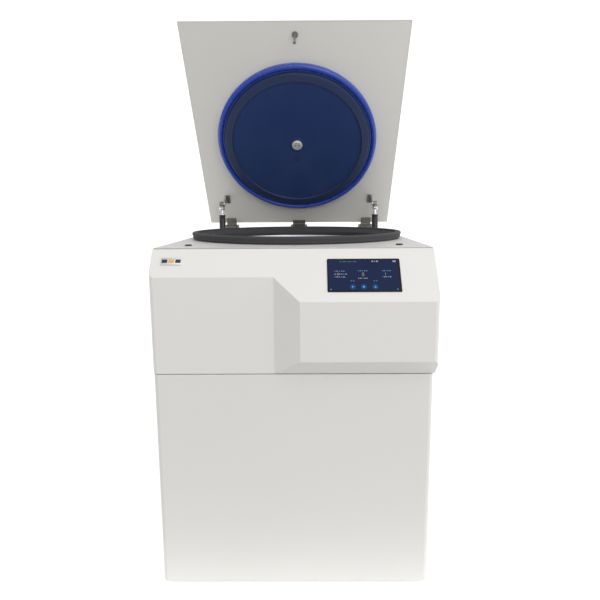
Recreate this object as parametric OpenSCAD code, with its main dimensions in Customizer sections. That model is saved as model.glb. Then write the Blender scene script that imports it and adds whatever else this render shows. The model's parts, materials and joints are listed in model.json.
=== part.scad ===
// Floor-standing refrigerated laboratory centrifuge with a round chamber and a hinged lid.
// Front is -Y, right is +X, up is +Z, and the origin is on the floor under the middle.

/* [Cabinet] */
// Width of the cabinet over its side panels
body_w = 630; // [620:1:660]
// Lower front panel, distance in front of the origin
front_y = 382; // [376:1:400]
// Rear panel, distance behind the origin
rear_y = 414; // [408:1:430]
// Height of the deck above the floor
deck_z = 805; // [790:1:830]
// Height of the seam between the lower panel and the upper cover
split_z = 526; // [480:1:560]
// Clearance of the panels above the floor
skirt_gap = 10; // [6:1:20]
// Thickness of the sheet metal panels
sheet = 2; // [1.5:0.1:3]
// Radius of the cabinet's vertical front edges
corner_r = 12; // [6:1:20]

/* [Upper cover] */
// Front edge of the deck, distance in front of the origin
deck_front = 335; // [325:1:340]
// Lean of the control slope back from the vertical, degrees
slope_lean = 37.7; // [36:0.1:40]
// How far the control nose stands out in front of the lower panel
nose_out = 37.6; // [30:0.1:45]
// Underside edge of the nose, height above the floor
nose_z = 563.5; // [555:0.5:580]
// Left end of the bevel that leads into the nose
bevel_left = -42; // [-60:1:-20]
// Right end of that bevel
bevel_right = 16.4; // [5:0.1:30]
// How much wider the cover is than the side panels, each side
cover_lip = 1.5; // [0.5:0.1:3]
// Length of the cover's side returns behind the deck's front edge
cover_return = 35; // [25:1:50]

/* [Controls] */
// Width of the touch screen
screen_w = 160; // [140:1:170]
// Height of the touch screen
screen_h = 83; // [70:1:90]
// Middle of the touch screen, right of the cabinet's middle
screen_x = 156; // [140:1:170]
// Top edge of the touch screen, down the slope
screen_drop = 30.5; // [20:0.5:36]
// Width of the plain badge plate
badge_w = 46; // [30:1:60]
// Height of the plain badge plate
badge_h = 18; // [12:1:24]

/* [Chamber] */
// Middle of the chamber, behind the origin
chamber_y = 40; // [30:1:42]
// Inner radius of the steel bowl
bowl_r = 268; // [262:1:268]
// Height of the bowl's floor
bowl_z = 520; // [515:1:530]
// Outer radius of the rubber collar's lip
collar_r = 303; // [300:1:306]
// Height of the rubber collar above the deck
collar_h = 20; // [18:1:24]

/* [Lid] */
// Length of the lid's underside from its rear edge to its front edge
lid_l = 676; // [660:1:680]
// Thickness of the lid
lid_t = 36; // [30:1:44]
// Opening angle of the lid, degrees
lid_open = 54.2; // [20:0.1:56]
// Lid hinge axis, behind the origin
hinge_y = 375; // [372:1:380]
// Lid hinge axis, above the deck
hinge_up = 18; // [17:0.5:20]
// Outer radius of the blue chamber plug
plug_r = 247; // [230:1:252]
// Height of the plug's rim off the lid's underside
plug_rim_h = 19; // [12:1:22]
// Middle of the plug, from the lid's rear edge
plug_along = 318.5; // [312:0.5:325]
// Lock striker, from the lid's rear edge
striker_along = 640; // [625:1:648]
// Length of the lock striker below the lid
striker_l = 62; // [56:1:64]

/* [Gas struts] */
// Struts, left and right of the middle
strut_x = 260; // [256:1:264]
// Upper stud, from the lid's rear edge
stud_along = 103; // [98:1:108]
// Upper stud, off the lid's underside
stud_drop = 31; // [28:1:34]
// Lower anchor pin, behind the origin
anchor_y = 272; // [266:1:278]
// Lower anchor pin, above the floor
anchor_z = 560; // [550:1:570]
// Outer radius of the strut's cylinder
tube_r = 10; // [9:0.5:11]
// Length of the strut's cylinder
tube_l = 170; // [165:1:172]

/* [Rotor] */
// Height of the bucket pins
pin_z = 650; // [645:1:670]
// Distance of the bucket pins from the shaft
pin_r = 140; // [136:1:144]
// Outer radius of a swing bucket
bucket_r = 50; // [44:1:51]
// Length of a bucket below its pins
bucket_l = 100; // [90:1:104]
// Radius of the drive shaft
shaft_r = 10; // [8:0.5:12]

/* [Hidden] */
$fn = 96;

half_w = body_w / 2;
nose_y = front_y + nose_out;
cut = 1;                                  // overshoot of every cutter past the face it opens
seam = 0.5;                               // gap between neighbouring panels
split_gap = 2;                            // shadow gap under the upper cover
return_l = 30;                            // side returns of the lower front panel
panel_front = front_y - return_l - seam;  // front edge of the side panels, below the seam
cover_back = deck_front - cover_return;   // rear edge of the cover's side returns
slope_run = tan(slope_lean);              // slope's set-back for each millimetre of height
deck_under = deck_z - sheet;

rail = 40;                                // square tube of the base frame
base_z = 22;                              // underside of the base frame
tray_z = base_z + rail;                   // top of the base rails
tray_t = 3;
floor_z = tray_z + tray_t;                // surface that the machinery stands on
post = 30;                                // square tube of the uprights
post_x = half_w - sheet - post - 2;       // inner face of the right uprights
post_front = -330;
post_rear = 370;
beam_z = 205;                             // underside of the motor beams
beam_y = 110;                             // motor beams, in front of and behind the shaft
mount_h = 25;
plate_z = beam_z + post + mount_h;        // underside of the motor plate
plate_t = 10;
motor_z = plate_z + plate_t;
motor_h = 216;
motor_r = 95;
bearing_r = 21;
bearing_h = 12;
running = 0.05;                           // radial clearance of a shaft in its bearing

bowl_t = 2;
bowl_corner = 40;
flange_z = deck_z + 1.5;                  // top of the bowl's flange, which lies on the deck
flange_r = 295;
deck_hole_r = bowl_r + 4;
coil_tube = 4;
coil_r = bowl_r + bowl_t + coil_tube + 0.5;
guard_r = coil_r + coil_tube + 2;
guard_t = 7;
foam_r = guard_r + guard_t + 1;
foam_out = foam_r + 10;
foam_z = 490;

fan_x = 135;
fan_z = 210;
fan_r = 114;
duct_r = 118;
inlet_x = -200;
inlet_z = 130;
switch_z = 190;

hinge_z = deck_z + hinge_up;
hinge_pin_r = 4;
knuckle_r = 8;
// Lid's rear lower edge when closed, seen from the hinge axis
lid_back = 16.5;
lid_up = deck_z + collar_h + 0.4 - hinge_z;
liner_t = 2.5;
shell_t = 2.5;
// Middle and width of each hinge arm
hinge_sets = [[-240.25, 34.5, 20], [0, 44, 12], [237.5, 35, 20]];
ear_t = 6;
ear_gap = 0.5;

// Stud of the gas struts with the lid open, and the strut's lean from the vertical
stud_closed = [-lid_back - stud_along, lid_up - stud_drop];
stud = [hinge_y + stud_closed[0] * cos(lid_open) + stud_closed[1] * sin(lid_open),
        hinge_z - stud_closed[0] * sin(lid_open) + stud_closed[1] * cos(lid_open)];
strut_l = norm([anchor_y - stud[0], anchor_z - stud[1]]);
strut_lean = atan2(anchor_y - stud[0], stud[1] - anchor_z);
stud_r = 4;
eye_r = 8.5;
eye_w = 12;
neck_l = 36;                              // stud to the top of the strut's cylinder
rod_r = 4;
strut_cap = 8;                            // end cap of the strut's cylinder
anchor_pin_r = 3.5;
anchor_eye_r = 12;

nut_seat = pin_z + 2;                     // recessed face of the rotor hub under its nut

lock_y = hinge_y - lid_back - striker_along;
lock_pin_x = 20;
lock_hook_z = hinge_z + lid_up - striker_l + 9.6;
lock_rest = 70;                           // the pawl stands this far back from the striker

// ---------------------------------------------------------------- placing helpers

// Children drawn on the closed lid (origin at its rear lower edge, front is -Y) go to the open lid.
module on_lid() {
    translate([0, hinge_y, hinge_z]) rotate([-lid_open, 0, 0]) translate([0, -lid_back, lid_up])
        children();
}

// Children drawn with Y up the slope and Z out of it, from the deck's front edge.
module on_slope() {
    translate([0, -deck_front, deck_z]) rotate([90 - slope_lean, 0, 0]) children();
}

// Children drawn down from the stud along -Z follow the gas strut.
module on_strut(side) {
    translate([side * strut_x, stud[0], stud[1]]) rotate([strut_lean, 0, 0]) children();
}

// Children drawn around Z stand in the chamber.
module in_chamber() {
    translate([0, chamber_y, 0]) children();
}

// Points along an arc, from one angle to another.
function arc(centre, r, from, to, steps = 6) =
    [for (i = [0:steps]) let (a = from + (to - from) * i / steps) centre + r * [cos(a), sin(a)]];

module box(x, y, z) {
    translate([x[0], y[0], z[0]]) cube([x[1] - x[0], y[1] - y[0], z[1] - z[0]]);
}

module ring(outer, inner, low, high) {
    translate([0, 0, low]) difference() {
        cylinder(r = outer, h = high - low);
        translate([0, 0, -cut]) cylinder(r = inner, h = high - low + 2 * cut);
    }
}

module rounded_plate(w, h, r, t) {
    linear_extrude(t) union() {
        square([w - 2 * r, h], center = true);
        square([w, h - 2 * r], center = true);
        for (x = [-1, 1], y = [-1, 1]) translate([x * (w / 2 - r), y * (h / 2 - r)]) circle(r);
    }
}

// Plan of a panel that wraps round the front: rounded front corners, shrunk inwards by t.
module front_plan(y, t, w = half_w) {
    r = corner_r - t;
    translate([-w + t, -y + corner_r]) square([2 * (w - t), y - corner_r + rear_y]);
    translate([-w + corner_r, -y + t]) square([2 * (w - corner_r), corner_r]);
    for (x = [-1, 1]) translate([x * (w - corner_r), -y + corner_r]) circle(r);
}

// ---------------------------------------------------------------- frames and panels

module base_frame() {
    side = 290;
    color("dimgray") difference() {
        union() {
            for (x = [-side, side - rail]) box([x, x + rail], [-355, 400], [base_z, tray_z]);
            for (y = [-355, 0, 400 - rail]) box([-side, side], [y, y + rail], [base_z, tray_z]);
            box([-side, side], [-355, 400], [tray_z, floor_z]);
        }
        for (x = [-200, 0, 200]) translate([x, -180, tray_z - cut]) cylinder(r = 30, h = tray_t + 2);
    }
}

module upright_frame() {
    rail_z = 690;
    color("dimgray") {
        for (x = [-post_x - post, post_x], y = [post_front, post_rear])
            box([x, x + post], [y, y + post], [floor_z, deck_under]);
        for (x = [-post_x - post, post_x])
            box([x, x + post], [post_front, post_rear + post], [beam_z, beam_z + post]);
        for (y = [chamber_y - beam_y, chamber_y + beam_y])
            box([-post_x - 1, post_x + 1], [y - post / 2, y + post / 2], [beam_z, beam_z + post]);
        for (y = [post_front, post_rear])
            box([-post_x - 1, post_x + 1], [y, y + post], [rail_z, rail_z + post]);
    }
}

module side_panel(side) {
    back = rear_y - sheet - seam;
    slots = 9;
    color("whitesmoke") mirror([side < 0 ? 1 : 0, 0, 0]) difference() {
        translate([half_w - sheet, 0, 0]) rotate([90, 0, 90]) linear_extrude(sheet)
            polygon([[-panel_front, skirt_gap], [back, skirt_gap], [back, deck_under - 0.1],
                     [-cover_back + seam, deck_under - 0.1], [-cover_back + seam, split_z],
                     [-panel_front, split_z]]);
        for (i = [0:slots - 1])
            box([half_w - sheet - cut, half_w + cut], [150, 310], [120 + 16 * i, 125 + 16 * i]);
    }
}

module left_side_panel() { side_panel(-1); }
module right_side_panel() { side_panel(1); }

module rear_panel() {
    louvres = 10;
    color("whitesmoke") difference() {
        box([-half_w, half_w], [rear_y - sheet, rear_y], [skirt_gap, deck_under - 0.1]);
        translate([fan_x, rear_y - sheet - cut, fan_z]) rotate([-90, 0, 0])
            cylinder(r = duct_r, h = sheet + 2 * cut);
        for (i = [0:louvres - 1])
            box([-100, 100], [rear_y - sheet - cut, rear_y + cut], [560 + 18 * i, 566 + 18 * i]);
        box([inlet_x - 15, inlet_x + 15], [rear_y - 5, rear_y + 5], [inlet_z - 12, inlet_z + 12]);
        box([inlet_x - 11, inlet_x + 11], [rear_y - 5, rear_y + 5], [switch_z - 15, switch_z + 15]);
    }
}

// Flat guard of rings and bars on the rear panel, over the condenser fan.
module fan_grille() {
    wire = 2.4;
    span = 120;
    tab_r = 6;
    color("silver") translate([fan_x, nose_y, fan_z]) rotate([90, 0, 0]) {
        linear_extrude(wire) {
            for (r = [24:24:span]) difference() {
                circle(r + wire / 2);
                circle(r - wire / 2);
            }
            for (a = [0:45:135]) rotate(a) square([2 * span + 1, wire], center = true);
            for (a = [45:90:315]) rotate(a) translate([span + tab_r - 1, 0]) circle(tab_r);
        }
        for (a = [45:90:315]) rotate(a) translate([span + tab_r, 0, wire - 0.5])
            cylinder(r = 3, h = nose_y - rear_y - wire + 0.5, $fn = 32);
    }
}

module lower_front_panel() {
    fold = 12;
    top = split_z - split_gap;
    color("whitesmoke") intersection() {
        difference() {
            translate([0, 0, skirt_gap]) linear_extrude(top - skirt_gap) front_plan(front_y, 0);
            translate([0, 0, skirt_gap + sheet]) linear_extrude(top - skirt_gap - 2 * sheet)
                front_plan(front_y, sheet);
            box([-half_w + fold, half_w - fold], [-front_y + fold, 0], [0, split_z + cut]);
        }
        box([-half_w - cut, half_w + cut], [-front_y - cut, -front_y + return_l], [0, split_z]);
    }
}

// Side outline of the upper cover, shrunk inwards by t, with or without the nose.
function slope_y(z, t) = -deck_front - (deck_z - z) * slope_run + t / cos(slope_lean);
function slope_z(y, t) = deck_z - (-deck_front + t / cos(slope_lean) - y) / slope_run;
function plain_outline(t, top) = [
    [-cover_back, top], [slope_y(top, t), top], [-front_y + t, slope_z(-front_y + t, t)],
    [-front_y + t, split_z - (t > 0 ? cut : 0)], [-cover_back, split_z - (t > 0 ? cut : 0)]];
function nose_outline(t, top) = [
    [-cover_back, top], [slope_y(top, t), top], [-nose_y + t, slope_z(-nose_y + t, t)],
    [-nose_y + t, nose_z + t * (sqrt(2) - 1)], [-front_y + t * sqrt(2), split_z],
    [-front_y + t * sqrt(2), split_z - (t > 0 ? cut : 0)], [-cover_back, split_z - (t > 0 ? cut : 0)]];

module cover_block(t, top) {
    w = half_w + cover_lip;
    bevel_slope = (bevel_right - bevel_left) / nose_out;
    lift = t * sqrt(1 + bevel_slope * bevel_slope);
    intersection() {
        translate([-w + t, 0, 0]) rotate([90, 0, 90]) linear_extrude(2 * (w - t))
            polygon(plain_outline(t, top));
        translate([0, 0, split_z - 2]) linear_extrude(deck_z) front_plan(front_y, t, w);
    }
    intersection() {
        translate([bevel_left, 0, 0]) rotate([90, 0, 90]) linear_extrude(w - t - bevel_left)
            polygon(nose_outline(t, top));
        translate([0, 0, split_z - 2]) linear_extrude(deck_z) intersection() {
            front_plan(nose_y, t, w);
            polygon([[bevel_left + lift, -front_y], [bevel_right + lift, -nose_y],
                     [w, -nose_y], [w, 0], [bevel_left + lift, 0]]);
        }
    }
}

module upper_front_cover() {
    skin = 2.5;
    color("white") difference() {
        cover_block(0, deck_under - 0.3);
        cover_block(skin, deck_under + cut);
        on_slope() translate([screen_x, -screen_drop - screen_h / 2, -10])
            rounded_plate(screen_w + 0.6, screen_h + 0.6, 4.3, 20);
    }
}

module top_deck() {
    latch_w = 12;
    color("gainsboro") difference() {
        translate([-half_w, 0, 0]) rotate([90, 0, 90]) linear_extrude(body_w)
            polygon([[-deck_front, deck_z], [slope_y(deck_under, 0), deck_under],
                     [rear_y, deck_under], [rear_y, deck_z]]);
        translate([0, chamber_y, deck_under - cut]) cylinder(r = deck_hole_r, h = sheet + 2 * cut);
        for (side = [-1, 1]) translate([side * strut_x, 266, deck_under - cut])
            rounded_plate(30, 64, 6, sheet + 2 * cut);
        translate([0, lock_y, deck_under - cut]) rounded_plate(latch_w, 24, 5, sheet + 2 * cut);
    }
}

// Thick rubber collar round the chamber mouth, which the closed lid rests on.
module deck_gasket() {
    top = deck_z + collar_h;
    lip = 16;
    edge = 3;
    skirt = 9;                            // laps down over the bowl's mouth
    color([0.25, 0.25, 0.27]) in_chamber() rotate_extrude($fn = 180)
        polygon(concat([[bowl_r - 0.2, flange_z], [bowl_r - 0.2, flange_z - skirt],
                        [bowl_r - 2.5, flange_z - skirt], [bowl_r - 2.5, flange_z + 2]],
                       arc([collar_r - lip + edge, top - edge], edge, 180, 90),
                       arc([collar_r - edge, top - edge], edge, 90, 0),
                       [[collar_r, deck_z + 8], [collar_r - 5, deck_z + 4], [collar_r - 5, deck_z],
                        [flange_r + 0.5, deck_z], [flange_r + 0.5, flange_z]]));
}

module deck_plugs() {
    color("dimgray") for (side = [-1, 1]) translate([side * 250, -271, deck_z]) {
        cylinder(r = 8.5, h = 2);
        translate([0, 0, 2]) cylinder(r = 7, h = 1);
    }
}

// ---------------------------------------------------------------- controls

module touch_screen() {
    color("midnightblue") on_slope() translate([screen_x, -screen_drop - screen_h / 2, -3])
        rounded_plate(screen_w, screen_h, 4, 3.6);
}

module display_module() {
    color("darkgreen") on_slope() translate([screen_x, -screen_drop - screen_h / 2, 0]) {
        translate([0, 0, -14]) rounded_plate(screen_w - 4, screen_h - 4, 2, 10.8);
        translate([0, 0, -20]) rounded_plate(60, 40, 2, 6);
    }
}

module badge_plate() {
    color("gray") on_slope() translate([-half_w + 23 + badge_w / 2, -35, 0])
        rounded_plate(badge_w, badge_h, 2, 0.8);
}

// ---------------------------------------------------------------- chamber

module chamber_bowl() {
    inner = bowl_r;
    low = bowl_z + bowl_corner;
    color("silver") in_chamber() rotate_extrude($fn = 180) {
        translate([inner, low]) square([bowl_t, flange_z - low]);
        translate([inner, deck_z]) square([flange_r - inner, flange_z - deck_z]);
        translate([28, bowl_z - bowl_t]) square([inner - bowl_corner - 28, bowl_t]);
        translate([inner - bowl_corner, low]) difference() {
            circle(bowl_corner + bowl_t);
            circle(bowl_corner);
            translate([-100, -50]) square(100);
            translate([-100, 0]) square(200);
        }
    }
}

module shaft_seal() {
    color([0.15, 0.15, 0.16]) in_chamber() {
        ring(27.8, shaft_r + 0.5, bowl_z - 4, bowl_z + 10);
        ring(36, 27, bowl_z + 0.1, bowl_z + 4);
    }
}

module evaporator_coil() {
    turns = 9;
    pitch = 24;
    low = 575;
    color("peru") in_chamber() {
        for (i = [0:turns - 1]) translate([0, 0, low + pitch * i])
            rotate_extrude() translate([coil_r, 0]) circle(coil_tube, $fn = 24);
        for (a = [60, 120]) rotate(a) translate([coil_r, 0, low])
            cylinder(r = coil_tube, h = pitch * (turns - 1), $fn = 24);
    }
}

module guard_ring() {
    color("slategray") in_chamber() ring(guard_r + guard_t, guard_r, 545, deck_under - 1);
}

module chamber_insulation() {
    color("khaki") in_chamber() {
        ring(foam_out, foam_r, foam_z, deck_under - 1);
        ring(foam_out, 60, foam_z, bowl_z - bowl_t - 2);
    }
}

// ---------------------------------------------------------------- drive

module motor_housing() {
    cap = 14;
    color("steelblue") in_chamber() difference() {
        union() {
            translate([0, 0, motor_z]) cylinder(r = motor_r, h = motor_h);
            for (a = [0:15:359]) rotate(a)
                translate([motor_r - 2, -1.5, motor_z + 12]) cube([10, 3, motor_h - 24]);
        }
        translate([0, 0, motor_z + cap]) cylinder(r = motor_r - 12, h = motor_h - 2 * cap);
        translate([0, 0, motor_z - cut]) cylinder(r = bearing_r + 0.02, h = motor_h + 2 * cut);
    }
}

module shaft_bearings() {
    color("silver") in_chamber()
        for (z = [motor_z + 1, motor_z + motor_h - bearing_h - 1])
            ring(bearing_r, shaft_r + running, z, z + bearing_h);
}

module motor_plate() {
    color("gray") in_chamber() difference() {
        translate([0, 0, plate_z]) rounded_plate(320, 300, 20, plate_t);
        translate([0, 0, plate_z - cut]) cylinder(r = 40, h = plate_t + 2 * cut);
        for (x = [-1, 1], y = [-1, 1]) translate([x * 130, y * beam_y, plate_z - cut])
            cylinder(r = 5.5, h = plate_t + 2 * cut);
    }
}

module vibration_mounts() {
    color([0.2, 0.2, 0.2]) in_chamber() for (x = [-1, 1], y = [-1, 1])
        translate([x * 130, y * beam_y, beam_z + post]) {
            cylinder(r = 20, h = mount_h);
            cylinder(r = 5, h = mount_h + plate_t + 6);
        }
}

module drive_shaft() {
    top = pin_z + 4;
    color("lightgray") in_chamber() {
        translate([0, 0, motor_z - 4]) cylinder(r = shaft_r, h = top - motor_z + 4);
        translate([0, 0, motor_z + 36]) cylinder(r = 64, h = motor_h - 72);
    }
}

// Four arms that end in cross heads; each pair of neighbouring heads carries one bucket's pins.
module rotor_yoke() {
    hub_r = 42;
    pin_gap = bucket_r + 4;
    head = pin_r - pin_gap - 6;
    head_at = (pin_r + pin_gap + 6) / sqrt(2);
    color("lightsteelblue") in_chamber() difference() {
        union() {
            translate([0, 0, pin_z - 28]) cylinder(r = hub_r, h = nut_seat - pin_z + 28);
            for (a = [45:90:315]) rotate(a) {
                translate([0, -14, pin_z - 14]) cube([head_at, 28, 24]);
                translate([head_at - 8, -head / sqrt(2) - 2, pin_z - 14])
                    cube([14, head * sqrt(2) + 4, 26]);
            }
            for (a = [0:90:270], side = [0, 1]) rotate(a) mirror([0, side, 0])
                translate([pin_r, pin_gap, pin_z]) rotate([-90, 0, 0]) {
                    translate([0, 0, 2]) cylinder(r = 13, h = 10);
                    translate([0, 0, -8]) cylinder(r = 6, h = 12);
                }
        }
        translate([0, 0, pin_z - 30]) cylinder(r = shaft_r + 0.02, h = 40);
        translate([0, 0, nut_seat]) cylinder(r = 24, h = 20);
    }
}

module rotor_nut() {
    color("darkgray") in_chamber() translate([0, 0, nut_seat + 0.1]) difference() {
        union() {
            cylinder(r = 22, h = 6);
            cylinder(r = 17, h = 20);
            for (a = [0:30:359]) rotate(a) translate([16, 0, 6]) cylinder(r = 2.5, h = 14, $fn = 24);
        }
        translate([0, 0, 12]) cylinder(r = 7, h = 20, $fn = 6);
        translate([0, 0, -cut]) cylinder(r = shaft_r + 0.02, h = 6);
    }
}

// Swing bucket that hangs from the yoke's pins and swings out about them.
module bucket(index) {
    wall = 4;
    rim_up = 28;
    color("silver") in_chamber() rotate(90 * (index - 1)) translate([pin_r, 0, pin_z]) {
        difference() {
            union() {
                translate([0, 0, -bucket_l + 12]) cylinder(r = bucket_r, h = bucket_l + rim_up - 12);
                translate([0, 0, -bucket_l]) cylinder(r = bucket_r - 12, h = 13);
                translate([0, 0, -bucket_l + 12]) rotate_extrude()
                    translate([bucket_r - 12, 0]) circle(12, $fn = 48);
                translate([0, 0, rim_up - 8]) cylinder(r = bucket_r + 1.5, h = 8);
            }
            translate([0, 0, -bucket_l + 8]) cylinder(r = bucket_r - wall, h = 200);
            for (side = [0, 1]) mirror([0, side, 0])
                translate([0, bucket_r - 5, 0]) rotate([-90, 0, 0]) cylinder(r = 6.06, h = 10);
        }
    }
}

module bucket_1() { bucket(1); }
module bucket_2() { bucket(2); }
module bucket_3() { bucket(3); }
module bucket_4() { bucket(4); }

// ---------------------------------------------------------------- cooling and power

module compressor() {
    r = 75;
    color([0.12, 0.12, 0.13]) translate([-170, 255, 0]) {
        translate([0, 0, 100]) cylinder(r = r, h = 110);
        translate([0, 0, 100]) intersection() {
            sphere(r);
            translate([-r, -r, -25]) cube([2 * r, 2 * r, 26]);
        }
        translate([0, 0, 210]) cylinder(r = r - 12, h = 18);
        translate([0, 0, 228]) cylinder(r = r - 28, h = 10);
        for (a = [30, 150, 270]) rotate(a) translate([62, 0, floor_z]) {
            cylinder(r = 14, h = 22);
            translate([-20, -8, 18]) cube([20, 16, 4]);
        }
        for (at = [[-20, 0], [20, 20]]) translate([at[0], at[1], 226]) cylinder(r = 7, h = 24);
    }
}

module condenser() {
    fins = 20;
    rows = 5;
    color("silver") translate([0, 270, floor_z]) {
        for (i = [0:fins]) translate([260 / fins * i, 0, 10]) cube([1.5, 34, 260]);
        for (i = [0:rows - 1]) translate([-8, 17, 40 + 50 * i]) rotate([0, 90, 0])
            cylinder(r = 5, h = 278, $fn = 24);
        box([-2, 264], [0, 34], [0, 12]);
        box([-2, 264], [0, 34], [268, 280]);
    }
}

module fan_shroud() {
    color("gray") difference() {
        union() {
            box([fan_x - 128, fan_x + 128], [306, 309], [fan_z - 128, fan_z + 128]);
            translate([fan_x, 306, fan_z]) rotate([-90, 0, 0]) cylinder(r = duct_r + 3, h = 102);
        }
        translate([fan_x, 306 - cut, fan_z]) rotate([-90, 0, 0]) cylinder(r = duct_r, h = 110);
    }
}

module fan_motor() {
    color([0.2, 0.2, 0.22]) translate([fan_x, 0, fan_z]) {
        translate([0, 316, 0]) rotate([-90, 0, 0]) cylinder(r = 34, h = 34);
        translate([0, 316, 0]) rotate([-90, 0, 0]) cylinder(r = 4, h = 62);
        for (a = [30, 150, 270]) rotate([0, a, 0]) translate([0, 318, -4])
            cube([duct_r - 1, 6, 8]);
    }
}

module condenser_fan() {
    hub_r = 36;
    color([0.15, 0.15, 0.16]) translate([fan_x, 0, fan_z]) difference() {
        union() {
            translate([0, 356, 0]) rotate([-90, 0, 0]) cylinder(r = hub_r, h = 26);
            intersection() {
                for (a = [0:60:300]) rotate([0, a, 0]) translate([hub_r - 4, 369, 0])
                    rotate([32, 0, 0]) translate([0, -1.5, -26]) cube([fan_r, 3, 52]);
                translate([0, 352, 0]) rotate([-90, 0, 0]) cylinder(r = fan_r, h = 34);
            }
        }
        translate([0, 350, 0]) rotate([-90, 0, 0]) cylinder(r = 4 + running, h = 29);
    }
}

// Straight pipes between the points, with a brazed ball joint at each bend.
module pipe_run(points, r) {
    for (i = [0:len(points) - 2]) {
        d = points[i + 1] - points[i];
        translate(points[i]) rotate([0, acos(d[2] / norm(d)), atan2(d[1], d[0])])
            cylinder(r = r, h = norm(d), $fn = 24);
    }
    for (i = [1:len(points) - 2]) translate(points[i]) sphere(r + 1, $fn = 24);
}

module refrigerant_pipes() {
    port = 250.4;
    condenser_top = floor_z + 280.4;
    color("peru") {
        pipe_run([[-190, 255, port], [-190, 255, 440], [-190, 200, 440], [-190, 200, foam_z - 0.5]], 6);
        pipe_run([[-150, 275, port], [-150, 275, 380], [100, 275, 380], [100, 287, 380],
                  [100, 287, condenser_top]], 5);
        pipe_run([[200, 287, condenser_top], [200, 287, 420], [200, 150, 420],
                  [200, 150, foam_z - 0.5]], 4);
    }
}

module drive_electronics() {
    color("darkslategray") {
        box([-170, 170], [-300, -200], [floor_z, 205]);
        for (i = [0:16]) box([-165 + 20 * i, -160 + 20 * i], [-318, -299], [floor_z + 10, 195]);
        box([-60, 60], [-201, -180], [floor_z + 20, 140]);
    }
}

module power_inlet() {
    color([0.1, 0.1, 0.1]) translate([inlet_x, rear_y, inlet_z]) {
        difference() {
            union() {
                translate([0, 0.1, 0]) rotate([-90, 0, 0]) rounded_plate(50, 32, 4, 2.4);
                box([-14.5, 14.5], [-28, 1], [-11.5, 11.5]);
            }
            box([-12, 12], [-18, 5], [-9, 9]);
            for (x = [-20, 20]) translate([x, -cut, 0]) rotate([-90, 0, 0])
                cylinder(r = 1.7, h = 6);
        }
        for (pin = [[-7, -3], [0, 3], [7, -3]])
            box([pin[0] - 1, pin[0] + 1], [-19, -8], [pin[1] - 2, pin[1] + 2]);
    }
}

module switch_bezel() {
    color([0.1, 0.1, 0.1]) translate([inlet_x, rear_y, switch_z]) difference() {
        union() {
            translate([0, 0.1, 0]) rotate([-90, 0, 0]) rounded_plate(28, 36, 3, 1.6);
            box([-10.5, 10.5], [-24, 1], [-14.5, 14.5]);
        }
        box([-8.5, 8.5], [-16, 5], [-12.5, 12.5]);
    }
}

// Rocker of the mains switch, at rest with its lower end out, on its own cross pin.
module power_rocker() {
    color("firebrick") translate([inlet_x, rear_y - 5, switch_z]) rotate([8, 0, 0]) {
        intersection() {
            rotate([0, 90, 0]) cylinder(r = 10.8, h = 15.6, center = true);
            box([-7.8, 7.8], [-6, 8.2], [-11, 11]);
        }
    }
}

// ---------------------------------------------------------------- lock and hinges

module lock_housing() {
    z = 735;
    color("slategray") {
        difference() {
            box([-34, 34], [lock_y - 25, lock_y + 22], [z, deck_under - 0.5]);
            box([-30, 30], [lock_y - 18, lock_y + 18], [z + 5, deck_z]);
        }
        translate([lock_pin_x, lock_y - 19, lock_hook_z]) rotate([-90, 0, 0])
            cylinder(r = 2.5, h = 38);
        box([-50, 50], [lock_y - 25, lock_y - 21], [z + 10, z + 40]);
    }
}

// Forked pawl that closes round the striker's neck.
module lock_pawl() {
    reach = 27;
    fork = 3.2;
    color("gold") translate([lock_pin_x, lock_y, lock_hook_z]) rotate([0, lock_rest, 0])
        difference() {
            union() {
                rotate([90, 0, 0]) cylinder(r = 6, h = 16, center = true);
                box([-reach, 0], [-fork - 3, fork + 3], [-2, 2]);
            }
            box([-reach - cut, -16], [-fork, fork], [-5, 5]);
            rotate([90, 0, 0]) cylinder(r = 2.5 + running, h = 20, center = true);
        }
}

module hinge_brackets() {
    color("rosybrown") for (set = hinge_sets) {
        half = set[1] / 2 + ear_gap;
        for (x = [set[0] - half - ear_t, set[0] + half]) difference() {
            union() {
                translate([x, hinge_y, hinge_z]) rotate([0, 90, 0]) cylinder(r = knuckle_r, h = ear_t);
                box([x, x + ear_t], [hinge_y - knuckle_r, hinge_y + knuckle_r], [deck_z, hinge_z]);
            }
            translate([x - cut, hinge_y, hinge_z]) rotate([0, 90, 0])
                cylinder(r = hinge_pin_r + 0.02, h = ear_t + 2 * cut);
        }
        for (side = [-1, 1]) box([set[0] + side * (half + 10) - 10, set[0] + side * (half + 10) + 10],
                                 [hinge_y - 14, hinge_y + 14], [deck_z, deck_z + 3]);
    }
}

module hinge_pins() {
    color("silver") for (set = hinge_sets)
        translate([set[0] - set[1] / 2 - ear_t - 1.5, hinge_y, hinge_z]) rotate([0, 90, 0]) {
            cylinder(r = hinge_pin_r, h = set[1] + 2 * ear_t + 3);
            translate([0, 0, -1.5]) cylinder(r = hinge_pin_r + 1.5, h = 1.9);
        }
}

// Arms under the lid's rear edge that turn on the hinge pins.
module hinge_arms() {
    color("rosybrown") on_lid() for (set = hinge_sets) {
        low = -lid_up - knuckle_r + 2;
        translate([set[0] - set[1] / 2, 0, 0]) difference() {
            union() {
                box([0, set[1]], [-set[2], 0.5], [-5.6, 0]);
                box([0, set[1]], [0.4, lid_back], [low, 0]);
                translate([0, lid_back, -lid_up]) rotate([0, 90, 0]) cylinder(r = knuckle_r, h = set[1]);
            }
            translate([-cut, lid_back, -lid_up]) rotate([0, 90, 0])
                cylinder(r = hinge_pin_r + 0.06, h = set[1] + 2 * cut);
        }
    }
}

// ---------------------------------------------------------------- lid

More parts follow.
